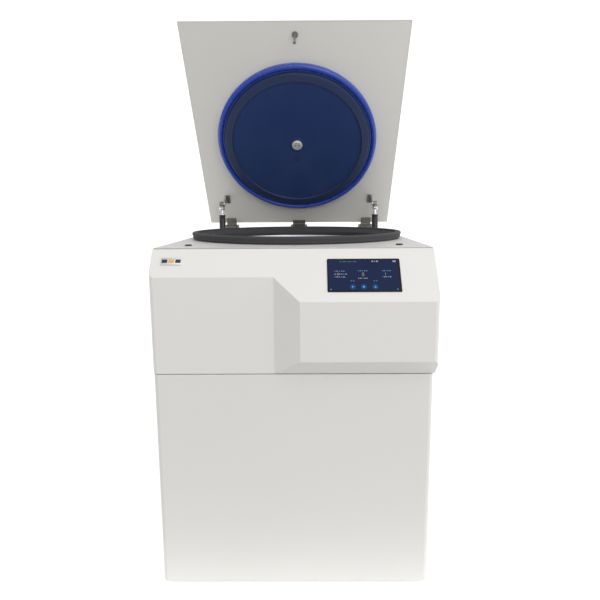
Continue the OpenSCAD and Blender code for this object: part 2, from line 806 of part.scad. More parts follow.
// Wedge-fronted prism: its front face leans back like the control slope.
module lid_prism(inset, low, high) {
    front = -lid_l + inset / cos(slope_lean);
    translate([-half_w + inset, 0, 0]) rotate([90, 0, 90]) linear_extrude(body_w - 2 * inset)
        polygon([[front + low * slope_run, low], [-inset, low], [-inset, high],
                 [front + high * slope_run, high]]);
}

module lid_shell() {
    color("white") on_lid() difference() {
        lid_prism(0, 0, lid_t);
        lid_prism(shell_t, -cut, lid_t - shell_t);
    }
}

module lid_liner() {
    color("ghostwhite") on_lid() lid_prism(shell_t + 0.2, 0, liner_t);
}

module lid_foam() {
    color("khaki") on_lid() lid_prism(shell_t + 2, liner_t + 0.2, lid_t - shell_t - 0.2);
}

// Blue plug: rounded outer rim, sloped band rising inwards, and a shallow recessed disc.
module lid_plug() {
    rim = 8;
    band = 202;
    h = plug_rim_h;
    color("royalblue") on_lid() translate([0, -plug_along, -0.1]) rotate([180, 0, 0])
        rotate_extrude($fn = 180)
            polygon(concat([[0, 0], [plug_r - 1, 0]],
                           arc([plug_r - rim, h - rim], rim, 0, 180, 12),
                           [[plug_r - 2 * rim - 3, h - 8], [plug_r - 2 * rim - 8, h + 3],
                            [band, h + 6], [band - 2, h + 6],
                            [band - 3, h + 1], [0, h + 1]]));
}

module plug_screw() {
    color("silver") on_lid() translate([0, -plug_along, -plug_rim_h - 4.6]) difference() {
        union() {
            cylinder(r = 16, h = 3.4);
            translate([0, 0, -1.5]) cylinder(r = 13, h = 2);
        }
        for (x = [-6, 6]) translate([x, 0, -2]) cylinder(r = 2, h = 4, $fn = 24);
    }
}

module lid_striker() {
    color("silver") on_lid() translate([0, -striker_along, -striker_l]) {
        cylinder(r = 2.5, h = striker_l - 0.1, $fn = 32);
        cylinder(r = 4.2, h = 6, $fn = 32);
        translate([0, 0, striker_l - 4.1]) cylinder(r = 8.5, h = 4);
    }
}

module strut_brackets() {
    color("silver") on_lid() for (side = [-1, 1]) mirror([side < 0 ? 1 : 0, 0, 0]) {
        inner = strut_x - eye_w / 2 - 4.5;
        box([inner - 14, inner + 4], [-stud_along - 16, -stud_along + 16], [-3, -0.1]);
        box([inner, inner + 4], [-stud_along - 8, -stud_along + 8], [-stud_drop, -2]);
        translate([inner, -stud_along, -stud_drop]) rotate([0, 90, 0]) {
            cylinder(r = 8, h = 4);
            cylinder(r = stud_r, h = eye_w + 8);
            translate([0, 0, eye_w + 6]) cylinder(r = stud_r + 2, h = 2);
        }
    }
}

// Cylinder of a gas strut: eye and neck at the stud, and a bored tube below them.
module strut_tube(side) {
    color([0.08, 0.08, 0.08]) on_strut(side) difference() {
        union() {
            translate([-eye_w / 2, 0, 0]) rotate([0, 90, 0]) cylinder(r = eye_r, h = eye_w);
            translate([0, 0, -neck_l - 1]) cylinder(r = 5, h = neck_l - eye_r + 3);
            translate([0, 0, -neck_l - tube_l]) cylinder(r = tube_r, h = tube_l);
        }
        translate([-eye_w, 0, 0]) rotate([0, 90, 0]) cylinder(r = stud_r + running, h = 2 * eye_w);
        translate([0, 0, -neck_l - tube_l + strut_cap])
            cylinder(r = tube_r - 1.5, h = tube_l - 2 * strut_cap);
        translate([0, 0, -neck_l - tube_l - cut]) cylinder(r = rod_r + running, h = strut_cap + 2 * cut);
    }
}

// Rod of a gas strut: piston in the tube, rod, and the loose eye round the anchor pin.
module strut_rod(side) {
    piston_z = -neck_l - tube_l + strut_cap + 2;
    eye_out = anchor_eye_r + 4;
    color("silver") on_strut(side) difference() {
        union() {
            translate([0, 0, piston_z]) cylinder(r = tube_r - 1.7, h = 8);
            translate([0, 0, -strut_l + eye_out - 2])
                cylinder(r = rod_r, h = strut_l + piston_z - eye_out + 3);
            translate([-eye_w / 2, 0, -strut_l]) rotate([0, 90, 0]) cylinder(r = eye_out, h = eye_w);
        }
        translate([-eye_w, 0, -strut_l]) rotate([0, 90, 0])
            cylinder(r = anchor_eye_r, h = 2 * eye_w);
    }
}

module strut_tube_left() { strut_tube(-1); }
module strut_tube_right() { strut_tube(1); }
module strut_rod_left() { strut_rod(-1); }
module strut_rod_right() { strut_rod(1); }

module strut_anchors() {
    to_post = post_rear - anchor_y - 0.1;
    color("gray") for (side = [-1, 1]) mirror([side < 0 ? 1 : 0, 0, 0])
        translate([0, anchor_y, anchor_z]) {
            translate([strut_x - eye_w, 0, 0]) rotate([0, 90, 0]) cylinder(r = anchor_pin_r, h = 40);
            box([strut_x + 26, strut_x + 30], [-12, to_post], [-20, 20]);
            box([post_x, post_x + post], [to_post - 4, to_post], [-20, 20]);
        }
}

module levelling_feet() {
    color([0.2, 0.2, 0.2]) for (x = [-270, 270], y = [-335, 380]) translate([x, y, 0]) {
        cylinder(r = 24, h = 6);
        translate([0, 0, 6]) cylinder(r = 16, h = 4);
        cylinder(r = 6, h = base_z);
        translate([0, 0, 14]) cylinder(r = 10, h = 5, $fn = 6);
    }
}

module panel_screws() {
    color("silver") for (x = [-290, 0, 290], z = [40, 480, 780]) translate([x, rear_y, z])
        rotate([-90, 0, 0]) difference() {
            cylinder(r = 5, h = 2, $fn = 32);
            translate([0, 0, 0.8]) cylinder(r = 2.3, h = 3, $fn = 6);
        }
}

base_frame();
upright_frame();
left_side_panel();
right_side_panel();
rear_panel();
fan_grille();
lower_front_panel();
upper_front_cover();
top_deck();
deck_gasket();
deck_plugs();
touch_screen();
display_module();
badge_plate();
chamber_bowl();
shaft_seal();
evaporator_coil();
guard_ring();
chamber_insulation();
motor_housing();
shaft_bearings();
motor_plate();
vibration_mounts();
compressor();
condenser();
fan_shroud();
fan_motor();
refrigerant_pipes();
drive_electronics();
power_inlet();
switch_bezel();
lock_housing();
hinge_brackets();
hinge_pins();
strut_anchors();
levelling_feet();
panel_screws();
lid_shell();
lid_liner();
lid_foam();
lid_plug();
plug_screw();
lid_striker();
strut_brackets();
hinge_arms();
strut_tube_left();
strut_tube_right();
strut_rod_left();
strut_rod_right();
rotor_yoke();
drive_shaft();
rotor_nut();
bucket_1();
bucket_2();
bucket_3();
bucket_4();
condenser_fan();
power_rocker();
lock_pawl();
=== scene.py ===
"""Looks of a floor-standing refrigerated laboratory centrifuge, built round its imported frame.

Every length is in metres and every piece stands in the frame's own coordinates: +Z up, -Y to the
front, +X to the right, with the origin on the floor under the middle of the machine.
"""

from __future__ import annotations

import json
import logging
import math
from dataclasses import dataclass
from enum import Enum

import bmesh
import bpy
import numpy as np
from mathutils import Matrix, Vector


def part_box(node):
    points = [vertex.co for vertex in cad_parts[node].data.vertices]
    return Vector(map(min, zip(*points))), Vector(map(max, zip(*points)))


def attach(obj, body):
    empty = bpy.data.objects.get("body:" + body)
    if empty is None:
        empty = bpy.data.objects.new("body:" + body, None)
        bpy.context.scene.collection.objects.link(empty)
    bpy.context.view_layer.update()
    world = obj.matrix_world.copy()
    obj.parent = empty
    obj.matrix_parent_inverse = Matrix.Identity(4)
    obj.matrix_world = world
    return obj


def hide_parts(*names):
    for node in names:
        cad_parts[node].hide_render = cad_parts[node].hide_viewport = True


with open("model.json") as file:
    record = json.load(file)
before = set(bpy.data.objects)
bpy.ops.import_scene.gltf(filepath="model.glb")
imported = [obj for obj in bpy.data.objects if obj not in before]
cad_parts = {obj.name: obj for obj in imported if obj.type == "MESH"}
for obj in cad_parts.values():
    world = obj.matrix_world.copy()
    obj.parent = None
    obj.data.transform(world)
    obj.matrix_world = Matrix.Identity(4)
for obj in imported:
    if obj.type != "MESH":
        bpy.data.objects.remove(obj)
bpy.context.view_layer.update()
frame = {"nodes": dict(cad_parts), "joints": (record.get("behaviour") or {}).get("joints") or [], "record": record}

LOG = logging.getLogger("centrifuge")
MM = 0.001
SLOT_OF = {part["node"]: part["material_slot"] for part in frame["record"]["subparts"]}
BODY_OF = {
    node: body
    for body, nodes in frame["record"]["behaviour"]["bodies"].items()
    for node in nodes
}
JOINTS = {joint["name"]: joint for joint in frame["joints"]}

# Points of a new piece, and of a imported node, that lie nearer than this are one point.
MERGE = 1e-6
NODE_MERGE = 2e-6
# Edges and faces smaller than this are taken out.
SLIVER = 1e-7
# Pieces that the quarter circle of a rectangle's corner is cut into.
CORNER_STEPS = 6
# How far the middle of a small round lies inside each of its two faces, as a share of its radius.
ROUND_MIDDLE = 0.3
# How much finer noises count in a noise, and the two values that most of a noise lies between.
NOISE_ROUGHNESS = 0.55
NOISE_MIDST = (0.3, 0.7)
# Degrees that the cover's slope and the lid's front face lean back from upright.
SLOPE_LEAN = 37.7

Vec = tuple[float, float, float]
Pair = tuple[float, float]
Colour = tuple[float, float, float]
Faces = np.ndarray | list[list[int]]
Socket = bpy.types.NodeSocket


class Axis(Enum):
    """A direction of the frame, as the number of its coordinate."""

    X = 0
    Y = 1
    Z = 2


class Side(Enum):
    """A side of the machine, as the sign of its X."""

    LEFT = -1
    RIGHT = 1

    @property
    def word(self) -> str:
        """The side as the names of pieces and nodes have it."""
        return self.name.lower()


# ---------------------------------------------------------------------------
# Surfaces
# ---------------------------------------------------------------------------


@dataclass(frozen=True)
class Place:
    """A working frame: an origin, and the directions that its own X, Y and Z take."""

    origin: Vec = (0.0, 0.0, 0.0)
    x: Vec = (1.0, 0.0, 0.0)
    y: Vec = (0.0, 1.0, 0.0)
    z: Vec = (0.0, 0.0, 1.0)

    def put(self, local: np.ndarray) -> np.ndarray:
        """Origin plus each local coordinate times its direction."""
        return np.asarray(self.origin) + np.asarray(local, float) @ np.array([self.x, self.y, self.z])

    def moved(self, x: float = 0.0, y: float = 0.0, z: float = 0.0) -> Place:
        """The same directions, from a point that is given in this frame's own coordinates."""
        return Place(tuple(self.put(np.array([x, y, z]))), self.x, self.y, self.z)


def tilted(origin: Vec, angle: float) -> Place:
    """A working frame turned about the frame's X by an angle in degrees.

    Args:
        origin: Its origin.
        angle: Angle from upright; positive leans its Z towards -Y.

    Returns:
        The working frame.
    """
    c, s = math.cos(math.radians(angle)), math.sin(math.radians(angle))
    return Place(origin, (1.0, 0.0, 0.0), (0.0, c, s), (0.0, -s, c))


def grid_faces(rows: int, cols: int, wrap: bool = False) -> np.ndarray:
    """Quads over a grid of points that are numbered row by row.

    Args:
        rows: Points along the first parameter.
        cols: Points along the second parameter.
        wrap: Whether the last column joins the first.

    Returns:
        An array of point numbers, four to a face.
    """
    last = cols if wrap else cols - 1
    i, j = np.meshgrid(np.arange(rows - 1), np.arange(last), indexing="ij")
    right = (j + 1) % cols
    corners = [i * cols + j, i * cols + right, (i + 1) * cols + right, (i + 1) * cols + j]
    return np.stack([c.ravel() for c in corners], axis=1)


def arc(centre: Pair, radius: float, start: float, end: float, steps: int) -> np.ndarray:
    """Points of a round stretch: centre plus radius times (cos a, sin a), a in degrees.

    Args:
        centre: Middle of the arc.
        radius: Its radius.
        start: First angle.
        end: Last angle.
        steps: Number of pieces that the arc is cut into.

    Returns:
        An array of steps + 1 points.
    """
    a = np.radians(np.linspace(start, end, steps + 1))
    return np.stack([centre[0] + radius * np.cos(a), centre[1] + radius * np.sin(a)], axis=1)


def outline(*parts: object) -> np.ndarray:
    """Joins points and runs of points into one profile.

    Args:
        parts: Pairs of numbers, or arrays of such pairs.

    Returns:
        The profile as an array of pairs.
    """
    return np.concatenate([np.atleast_2d(np.asarray(part, float)) for part in parts])


def loop(*parts: object) -> np.ndarray:
    """A profile whose first point is repeated at its end."""
    run = outline(*parts)
    return np.vstack([run, run[:1]])


def rounded_box(width: float, height: float, radius: float, at: Pair = (0.0, 0.0)) -> np.ndarray:
    """Outline of a rectangle with round corners, anticlockwise.

    Args:
        width: Its width.
        height: Its height.
        radius: Radius of its corners.
        at: Its middle.

    Returns:
        The outline as an array of pairs.
    """
    x, y = width / 2 - radius, height / 2 - radius
    corners = [(x, -y, -90), (x, y, 0), (-x, y, 90), (-x, -y, 180)]
    runs = [arc((at[0] + cx, at[1] + cy), radius, a, a + 90, CORNER_STEPS) for cx, cy, a in corners]
    return np.concatenate(runs)


def disc_outline(radius: float, at: Pair, steps: int = 40) -> np.ndarray:
    """Outline of a circle, anticlockwise."""
    return arc(at, radius, 0.0, 360.0 - 360.0 / steps, steps - 1)


def make_piece(name: str, points: np.ndarray, faces: Faces, sharp: float = 32.0) -> bpy.types.Object:
    """Puts points and faces into a new mesh, closes its seams and turns its faces outwards.

    Args:
        name: Name of the piece.
        points: Places of its vertices.
        faces: Vertex numbers of its faces.
        sharp: Edges that bend more than this many degrees stay crisp.

    Returns:
        The new object, at the origin.
    """
    mesh = bpy.data.meshes.new(name)
    rows = faces.tolist() if isinstance(faces, np.ndarray) else faces
    mesh.from_pydata(np.asarray(points, float).reshape(-1, 3), [], rows)
    tidy = bmesh.new()
    tidy.from_mesh(mesh)
    bmesh.ops.remove_doubles(tidy, verts=tidy.verts, dist=MERGE)
    bmesh.ops.dissolve_degenerate(tidy, edges=tidy.edges, dist=SLIVER)
    bmesh.ops.recalc_face_normals(tidy, faces=tidy.faces)
    tidy.to_mesh(mesh)
    tidy.free()
    mesh.shade_smooth()
    mesh.set_sharp_from_angle(angle=math.radians(sharp))
    piece = bpy.data.objects.new(name, mesh)
    bpy.context.scene.collection.objects.link(piece)
    return piece


def lathe(name: str, profile: np.ndarray, place: Place, steps: int, sharp: float) -> bpy.types.Object:
    """Turns a profile round the working frame's Z: point = (r cos t, r sin t, h).

    Args:
        name: Name of the piece.
        profile: Pairs of radius and height; a closed loop, or a run whose ends lie on the axis.
        place: Working frame whose Z is the axis.
        steps: Number of stations round the axis.
        sharp: Edges that bend more than this many degrees stay crisp.

    Returns:
        The new object.
    """
    t = np.linspace(0.0, 2.0 * math.pi, steps, endpoint=False)
    r, h = profile[:, :1], profile[:, 1:]
    local = np.stack([r * np.cos(t), r * np.sin(t), h + 0.0 * t], axis=-1)
    return make_piece(name, place.put(local), grid_faces(len(profile), steps, wrap=True), sharp)


def plates(name: str, outlines: list[np.ndarray], low: float, high: float, place: Place,
           rounding: float = 0.0) -> bpy.types.Object:
    """Flat plates: each outline drawn at the low and at the high level and joined by a wall.

    Args:
        name: Name of the piece.
        outlines: Outlines of the plates, in the working frame's X and Y.
        low: Level of their backs along the working frame's Z.
        high: Level of their fronts.
        place: Working frame.
        rounding: How far the front's edge is drawn in and let down, if at all.

    Returns:
        The new object, one mesh for all the plates.
    """
    points, faces, start = [], [], 0
    for shape in outlines:
        n = len(shape)
        middle = shape.mean(axis=0)
        outward = shape - middle
        outward /= np.linalg.norm(outward, axis=1)[:, None]
        rings = [(shape, low), (shape, high - rounding)]
        if rounding:
            part = rounding * ROUND_MIDDLE
            rings.append((shape - part * outward, high - part))
            rings.append((shape - rounding * outward, high))
        points += [np.column_stack([ring, np.full(n, level)]) for ring, level in rings]
        walls = grid_faces(len(rings), n, wrap=True) + start
        top = start + n * (len(rings) - 1)
        faces += walls.tolist() + [list(range(start + n - 1, start - 1, -1)), list(range(top, top + n))]
        start += n * len(rings)
    return make_piece(name, place.put(np.concatenate(points)), faces)


def softened(node: str, width: float, segments: int, angle: float,
             shortest: float) -> bpy.types.Object:
    """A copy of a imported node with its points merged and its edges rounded.

    Args:
        node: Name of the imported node.
        width: Width of the rounding.
        segments: Steps across the rounding.
        angle: Edges that bend more than this many degrees are rounded.
        shortest: Edges shorter than this stay crisp, such as those round a slot or a hole.

    Returns:
        The new object.
    """
    mesh = frame["nodes"][node].data.copy()
    mesh.name = f"{node}_skin"
    tidy = bmesh.new()
    tidy.from_mesh(mesh)
    bmesh.ops.remove_doubles(tidy, verts=tidy.verts, dist=NODE_MERGE)
    weight = tidy.edges.layers.float.new("bevel_weight_edge")
    for edge in tidy.edges:
        bent = edge.is_manifold and edge.calc_face_angle() > math.radians(angle)
        edge[weight] = float(bent and edge.calc_length() >= shortest)
    tidy.to_mesh(mesh)
    tidy.free()
    for name in ("custom_normal", "sharp_face", "sharp_edge"):
        if name in mesh.attributes:
            mesh.attributes.remove(mesh.attributes[name])
    mesh.shade_smooth()
    mesh.set_sharp_from_angle(angle=math.radians(angle))
    piece = bpy.data.objects.new(f"{node}_skin", mesh)
    bpy.context.scene.collection.objects.link(piece)
    bevel = piece.modifiers.new("edge_rounding", "BEVEL")
    bevel.width = width
    bevel.segments = segments
    bevel.limit_method = "WEIGHT"
    bevel.use_clamp_overlap = True
    bevel.face_strength_mode = "FSTR_ALL"
    even = piece.modifiers.new("even_normals", "WEIGHTED_NORMAL")
    even.mode = "FACE_AREA"
    even.weight = 100
    even.keep_sharp = True
    even.use_face_influence = True
    return piece


# ---------------------------------------------------------------------------
# Finishes
# ---------------------------------------------------------------------------


class Graph:
    """A material's node tree, with short calls for the nodes that the finishes share."""

    def __init__(self, name: str) -> None:
        """Starts a material with one Principled shader.

        Args:
            name: Name of the material.
        """
        self.material = bpy.data.materials.new(name)
        self.material.use_nodes = True
        self.tree = self.material.node_tree
        self.shader = self.tree.nodes["Principled BSDF"]

    def add(self, kind: str, inputs: dict[object, object] | None = None,
            **settings: object) -> bpy.types.Node:
        """Adds a node.

        Args:
            kind: Blender's type of node, without its ShaderNode prefix.
            inputs: Socket to constant or to another node's output.
            settings: Attributes of the node.

        Returns:
            The new node.
        """
        node = self.tree.nodes.new(f"ShaderNode{kind}")
        for key, value in settings.items():
            setattr(node, key, value)
        for key, value in (inputs or {}).items():
            if isinstance(value, Socket):
                self.tree.links.new(value, node.inputs[key])
            else:
                node.inputs[key].default_value = value
        return node

    def place(self, scale: Vec = (1.0, 1.0, 1.0), shift: Vec = (0.0, 0.0, 0.0)) -> Socket:
        """Object coordinates, moved and then scaled.

        Args:
            scale: Factor along each axis.
            shift: What is added before that.

        Returns:
            The socket that holds the place.
        """
        coords = self.add("TexCoord").outputs["Object"]
        moved = self.add("VectorMath", {0: coords, 1: shift}, operation="ADD").outputs[0]
        return self.add("VectorMath", {0: moved, 1: scale}, operation="MULTIPLY").outputs[0]

    def noise(self, scale: float, detail: float, at: Socket | None = None) -> Socket:
        """Noise from 0 to 1.

        Args:
            scale: Its fineness, per metre on the object's own coordinates.
            detail: Number of finer noises on top.
            at: Place that it is read at; the object's coordinates if left out.

        Returns:
            The socket that holds the noise.
        """
        vector = at if at is not None else self.place()
        inputs = {"Vector": vector, "Scale": scale, "Detail": detail, "Roughness": NOISE_ROUGHNESS}
        return self.add("TexNoise", inputs).outputs["Fac"]

    def span(self, value: Socket, low: float, high: float, start: float = 0.0,
             end: float = 1.0) -> Socket:
        """Maps start..end of a value onto low..high, and holds it there outside."""
        inputs = {"Value": value, "From Min": start, "From Max": end, "To Min": low, "To Max": high}
        return self.add("MapRange", inputs).outputs["Result"]

    def blend(self, share: Socket, first: Socket | Colour, second: Socket | Colour) -> Socket:
        """Mixes two colours.

        Args:
            share: From 0, all first, to 1, all second.
            first: A colour, or a socket that holds one.
            second: The other one.

        Returns:
            The socket that holds the mixture.
        """
        node = self.add("Mix", data_type="RGBA")
        for number, value in ((0, share), (6, first), (7, second)):
            if isinstance(value, Socket):
                self.tree.links.new(value, node.inputs[number])
            else:
                node.inputs[number].default_value = (*value, 1.0)
        return node.outputs[2]

    def maths(self, operation: str, *values: Socket | float) -> Socket:
        """One step of arithmetic on numbers or sockets."""
        return self.add("Math", dict(enumerate(values)), operation=operation).outputs[0]

    def relief(self, height: Socket, depth: float, strength: float = 1.0) -> None:
        """Raises the surface, on top of what raises it already.

        Args:
            height: Height from 0 to 1.
            depth: What a height of 1 is, in metres.
            strength: Share of the effect.
        """
        before = self.shader.inputs["Normal"].links
        inputs = {"Height": height, "Distance": depth, "Strength": strength}
        if before:
            inputs["Normal"] = before[0].from_socket
        bump = self.add("Bump", inputs)
        self.tree.links.new(bump.outputs[0], self.shader.inputs["Normal"])

    def wire(self, socket: str, value: Socket | Colour | float) -> None:
        """Sets one of the shader's sockets.

        Args:
            socket: Its name.
            value: A number or a colour, or another node's output.
        """
        if isinstance(value, Socket):
            self.tree.links.new(value, self.shader.inputs[socket])
        elif isinstance(value, tuple):
            self.shader.inputs[socket].default_value = (*value, 1.0)
        else:
            self.shader.inputs[socket].default_value = value


@dataclass(frozen=True)
class Finish:
    """What every finish has: a name, a base colour and a mean roughness."""

    name: str
    colour: Colour
    roughness: float

    def shades(self, light: float) -> Colour:
        """The base colour multiplied by a factor."""
        return tuple(min(1.0, c * light) for c in self.colour)

    def tint(self, graph: Graph, source: Socket, dark: float, light: float) -> None:
        """Lets the base colour drift between two of its shades.

        Args:
            graph: The material's graph.
            source: Noise that the drift follows.
            dark: Factor of the first shade.
            light: Factor of the second shade.
        """
        graph.wire("Base Color", graph.blend(source, self.shades(dark), self.shades(light)))

    def roughen(self, graph: Graph, source: Socket, less: float, more: float) -> None:
        """Lets the roughness drift about its mean.

        Args:
            graph: The material's graph.
            source: Noise that the drift follows.
            less: How far it falls below the mean.
            more: How far it rises above the mean.
        """
        drift = graph.span(source, self.roughness - less, self.roughness + more, *NOISE_MIDST)
        graph.wire("Roughness", drift)

    def build(self) -> bpy.types.Material:
        """Builds the material the first time.

        Returns:
            The material, which is the same one each time.
        """
        found = bpy.data.materials.get(self.name)
        if found is not None:
            return found
        graph = Graph(self.name)
        self.lay(graph)
        return graph.material

    def lay(self, graph: Graph) -> None:
        """Writes the finish into the graph; each kind of finish has its own."""
        raise NotImplementedError


@dataclass(frozen=True)
class PowderCoat(Finish):
    """Sprayed and baked powder on sheet metal: fine orange peel, faint mottling and rubbed smudges."""

    peel: float = 0.00006
    grain: float = 700.0
    mottle: float = 0.025

    def lay(self, graph: Graph) -> None:
        """Colour drifts with two sizes of noise; roughness follows the smudges; the peel is relief.

        Args:
            graph: The material\'s graph.
        """
        cloud = graph.noise(2.2, 2.0)
        smudge = graph.noise(14.0, 4.0)
        tone = graph.blend(cloud, self.shades(1.0 - self.mottle), self.shades(1.0 + self.mottle * 0.5))
        dirt = graph.span(smudge, 0.0, 0.05, 0.52, 0.8)
        graph.wire("Base Color", graph.blend(dirt, tone, self.shades(0.86)))
        self.roughen(graph, smudge, 0.05, 0.07)
        graph.wire("Specular IOR Level", 0.42)
        graph.relief(graph.noise(self.grain, 2.0), self.peel)
        graph.relief(graph.noise(self.grain * 0.12, 1.0), self.peel * 1.5, 0.6)


@dataclass(frozen=True)
class Moulding(Finish):
    """Injection-moulded plastic: a fine spark texture or a gloss, a clear coat, slow flow marks."""

    texture: float = 0.00004
    grain: float = 1500.0
    coat: float = 0.0
    gloss: float = 0.5

    def lay(self, graph: Graph) -> None:
        """Slow flow marks tint the colour, and fine scuffs vary the roughness.

        Args:
            graph: The material\'s graph.
        """
        flow = graph.noise(6.0, 2.0)
        scuff = graph.noise(22.0, 4.0)
        self.tint(graph, flow, 0.9, 1.1)
        self.roughen(graph, scuff, 0.02, 0.05)
        graph.wire("Specular IOR Level", self.gloss)
        graph.wire("Coat Weight", self.coat)
        graph.wire("Coat Roughness", 0.06)
        graph.relief(graph.noise(self.grain, 2.0), self.texture)
        graph.relief(graph.noise(9.0, 1.0), 0.0009, 0.25)


# Colour of the dust that settles on rubber.
DUST: Colour = (0.42, 0.41, 0.39)


@dataclass(frozen=True)
class MouldedRubber(Finish):
    """Black rubber with a satin skin and fine dust in its pores."""

    dust: float = 0.16

    def lay(self, graph: Graph) -> None:
        """Dust gathers where two noises are both high, and the skin is pitted.

        Args:
            graph: The material\'s graph.
        """
        pores = graph.noise(900.0, 3.0)
        patches = graph.noise(28.0, 4.0)
        both = graph.maths("MULTIPLY", graph.span(pores, 0.0, 1.0, 0.45, 0.75), patches)
        dusty = graph.maths("MULTIPLY", both, self.dust)
        graph.wire("Base Color", graph.blend(dusty, self.colour, DUST))
        self.roughen(graph, patches, 0.08, 0.08)
        graph.relief(pores, 0.00009)


@dataclass(frozen=True)
class BrushedMetal(Finish):
    """Metal with fine scratches that run one way, and slight tarnish between them."""

    along: Axis = Axis.X
    lines: float = 2400.0
    depth: float = 0.00002

    def lay(self, graph: Graph) -> None:
        """Noise that is stretched along the brushing gives the lines.

        Args:
            graph: The material\'s graph.
        """
        scale = [self.lines] * 3
        scale[self.along.value] = self.lines * 0.012
        streak = graph.noise(1.0, 3.0, graph.place(tuple(scale)))
        haze = graph.noise(18.0, 3.0)
        self.tint(graph, haze, 0.86, 1.08)
        graph.wire("Metallic", 1.0)
        self.roughen(graph, streak, 0.08, 0.12)
        graph.relief(streak, self.depth)


@dataclass(frozen=True)
class SpunSteel(Finish):
    """Stainless sheet spun on a lathe: fine rings round the chamber's axis."""

    centre: Pair = (0.0, 0.0)
    lines: float = 900.0

    def lay(self, graph: Graph) -> None:
        """Rings are noise of the distance from the axis and of the height.

        Args:
            graph: The material\'s graph.
        """
        at = graph.place(shift=(-self.centre[0], -self.centre[1], 0.0))
        parts = graph.add("SeparateXYZ", {0: at}).outputs
        squares = [graph.maths("MULTIPLY", part, part) for part in (parts[0], parts[1])]
        across = graph.maths("SQRT", graph.maths("ADD", *squares))
        scaled = [graph.maths("MULTIPLY", part, self.lines) for part in (across, parts[2])]
        rings = graph.add("CombineXYZ", dict(enumerate(scaled))).outputs[0]
        groove = graph.noise(1.0, 3.0, rings)
        haze = graph.noise(12.0, 3.0)
        self.tint(graph, haze, 0.9, 1.05)
        graph.wire("Metallic", 1.0)
        self.roughen(graph, groove, 0.06, 0.1)
        graph.relief(groove, 0.00003)


@dataclass(frozen=True)
class PlatedSteel(Finish):
    """Plated, tinned or drawn metal: crystalline spangle at a small scale, slightly stained."""

    spangle: float = 160.0
    stain: float = 0.35

    def lay(self, graph: Graph) -> None:
        """Each crystal of the plate has its own tone, and stains lie over them.

        Args:
            graph: The material\'s graph.
        """
        crystals = graph.add("TexVoronoi", {"Vector": graph.place(), "Scale": self.spangle})
        tone = graph.add("SeparateColor", {0: crystals.outputs["Color"]}).outputs[0]
        stains = graph.noise(40.0, 4.0)
        plate = graph.blend(graph.span(tone, 0.0, 0.5), self.colour, self.shades(1.15))
        dull = graph.maths("MULTIPLY", graph.span(stains, 0.0, 1.0, 0.45, 0.75), self.stain)
        graph.wire("Base Color", graph.blend(dull, plate, self.shades(0.55)))
        graph.wire("Metallic", 1.0)
        rough = graph.span(stains, self.roughness - 0.05, self.roughness + 0.15, 0.35, 0.75)
        graph.wire("Roughness", rough)
        graph.relief(graph.noise(500.0, 2.0), 0.00002)


@dataclass(frozen=True)
class GlassFront(Finish):
    """Dark display glass: a deep colour under a clear hard coat, with faint finger smears."""

    def lay(self, graph: Graph) -> None:
        """Smears only change the roughness, and the panel's glow drifts slowly across it.

        Args:
            graph: The material\'s graph.
        """
        smear = graph.noise(30.0, 5.0)
        glow = graph.noise(9.0, 1.0)
        self.tint(graph, glow, 0.8, 1.3)
        graph.wire("Roughness", graph.span(smear, self.roughness, self.roughness + 0.16, 0.45, 0.8))
        graph.wire("Specular IOR Level", 0.07)
        graph.wire("Coat Weight", 0.03)
        graph.wire("Coat Roughness", 0.04)
        graph.wire("Emission Color", self.colour)
        graph.wire("Emission Strength", 0.3)


@dataclass(frozen=True)
class LitMark(Finish):
    """A lit shape of the display, uneven as a backlight is."""

    strength: float = 0.8

    def lay(self, graph: Graph) -> None:
        """The light drifts a little across the mark.

        Args:
            graph: The material\'s graph.
        """
        drift = graph.noise(260.0, 2.0)
        shade = graph.blend(drift, self.shades(0.82), self.shades(1.1))
        graph.wire("Base Color", shade)
        graph.wire("Emission Color", shade)
        graph.wire("Emission Strength", self.strength)
        graph.wire("Roughness", self.roughness)
        graph.wire("Specular IOR Level", 0.15)


@dataclass(frozen=True)
class RigidFoam(Finish):
    """Cut insulation foam: open cells and a yellowed skin."""

    def lay(self, graph: Graph) -> None:
        """Each open cell is a pit round a Voronoi point.

        Args:
            graph: The material\'s graph.
        """
        cells = graph.add("TexVoronoi", {"Vector": graph.place(), "Scale": 420.0}).outputs["Distance"]
        age = graph.noise(8.0, 3.0)
        self.tint(graph, age, 0.85, 1.06)
        graph.wire("Roughness", self.roughness)
        graph.relief(cells, 0.0006)


ROTOR_AT = JOINTS["rotor_spin"]["pos_m"]

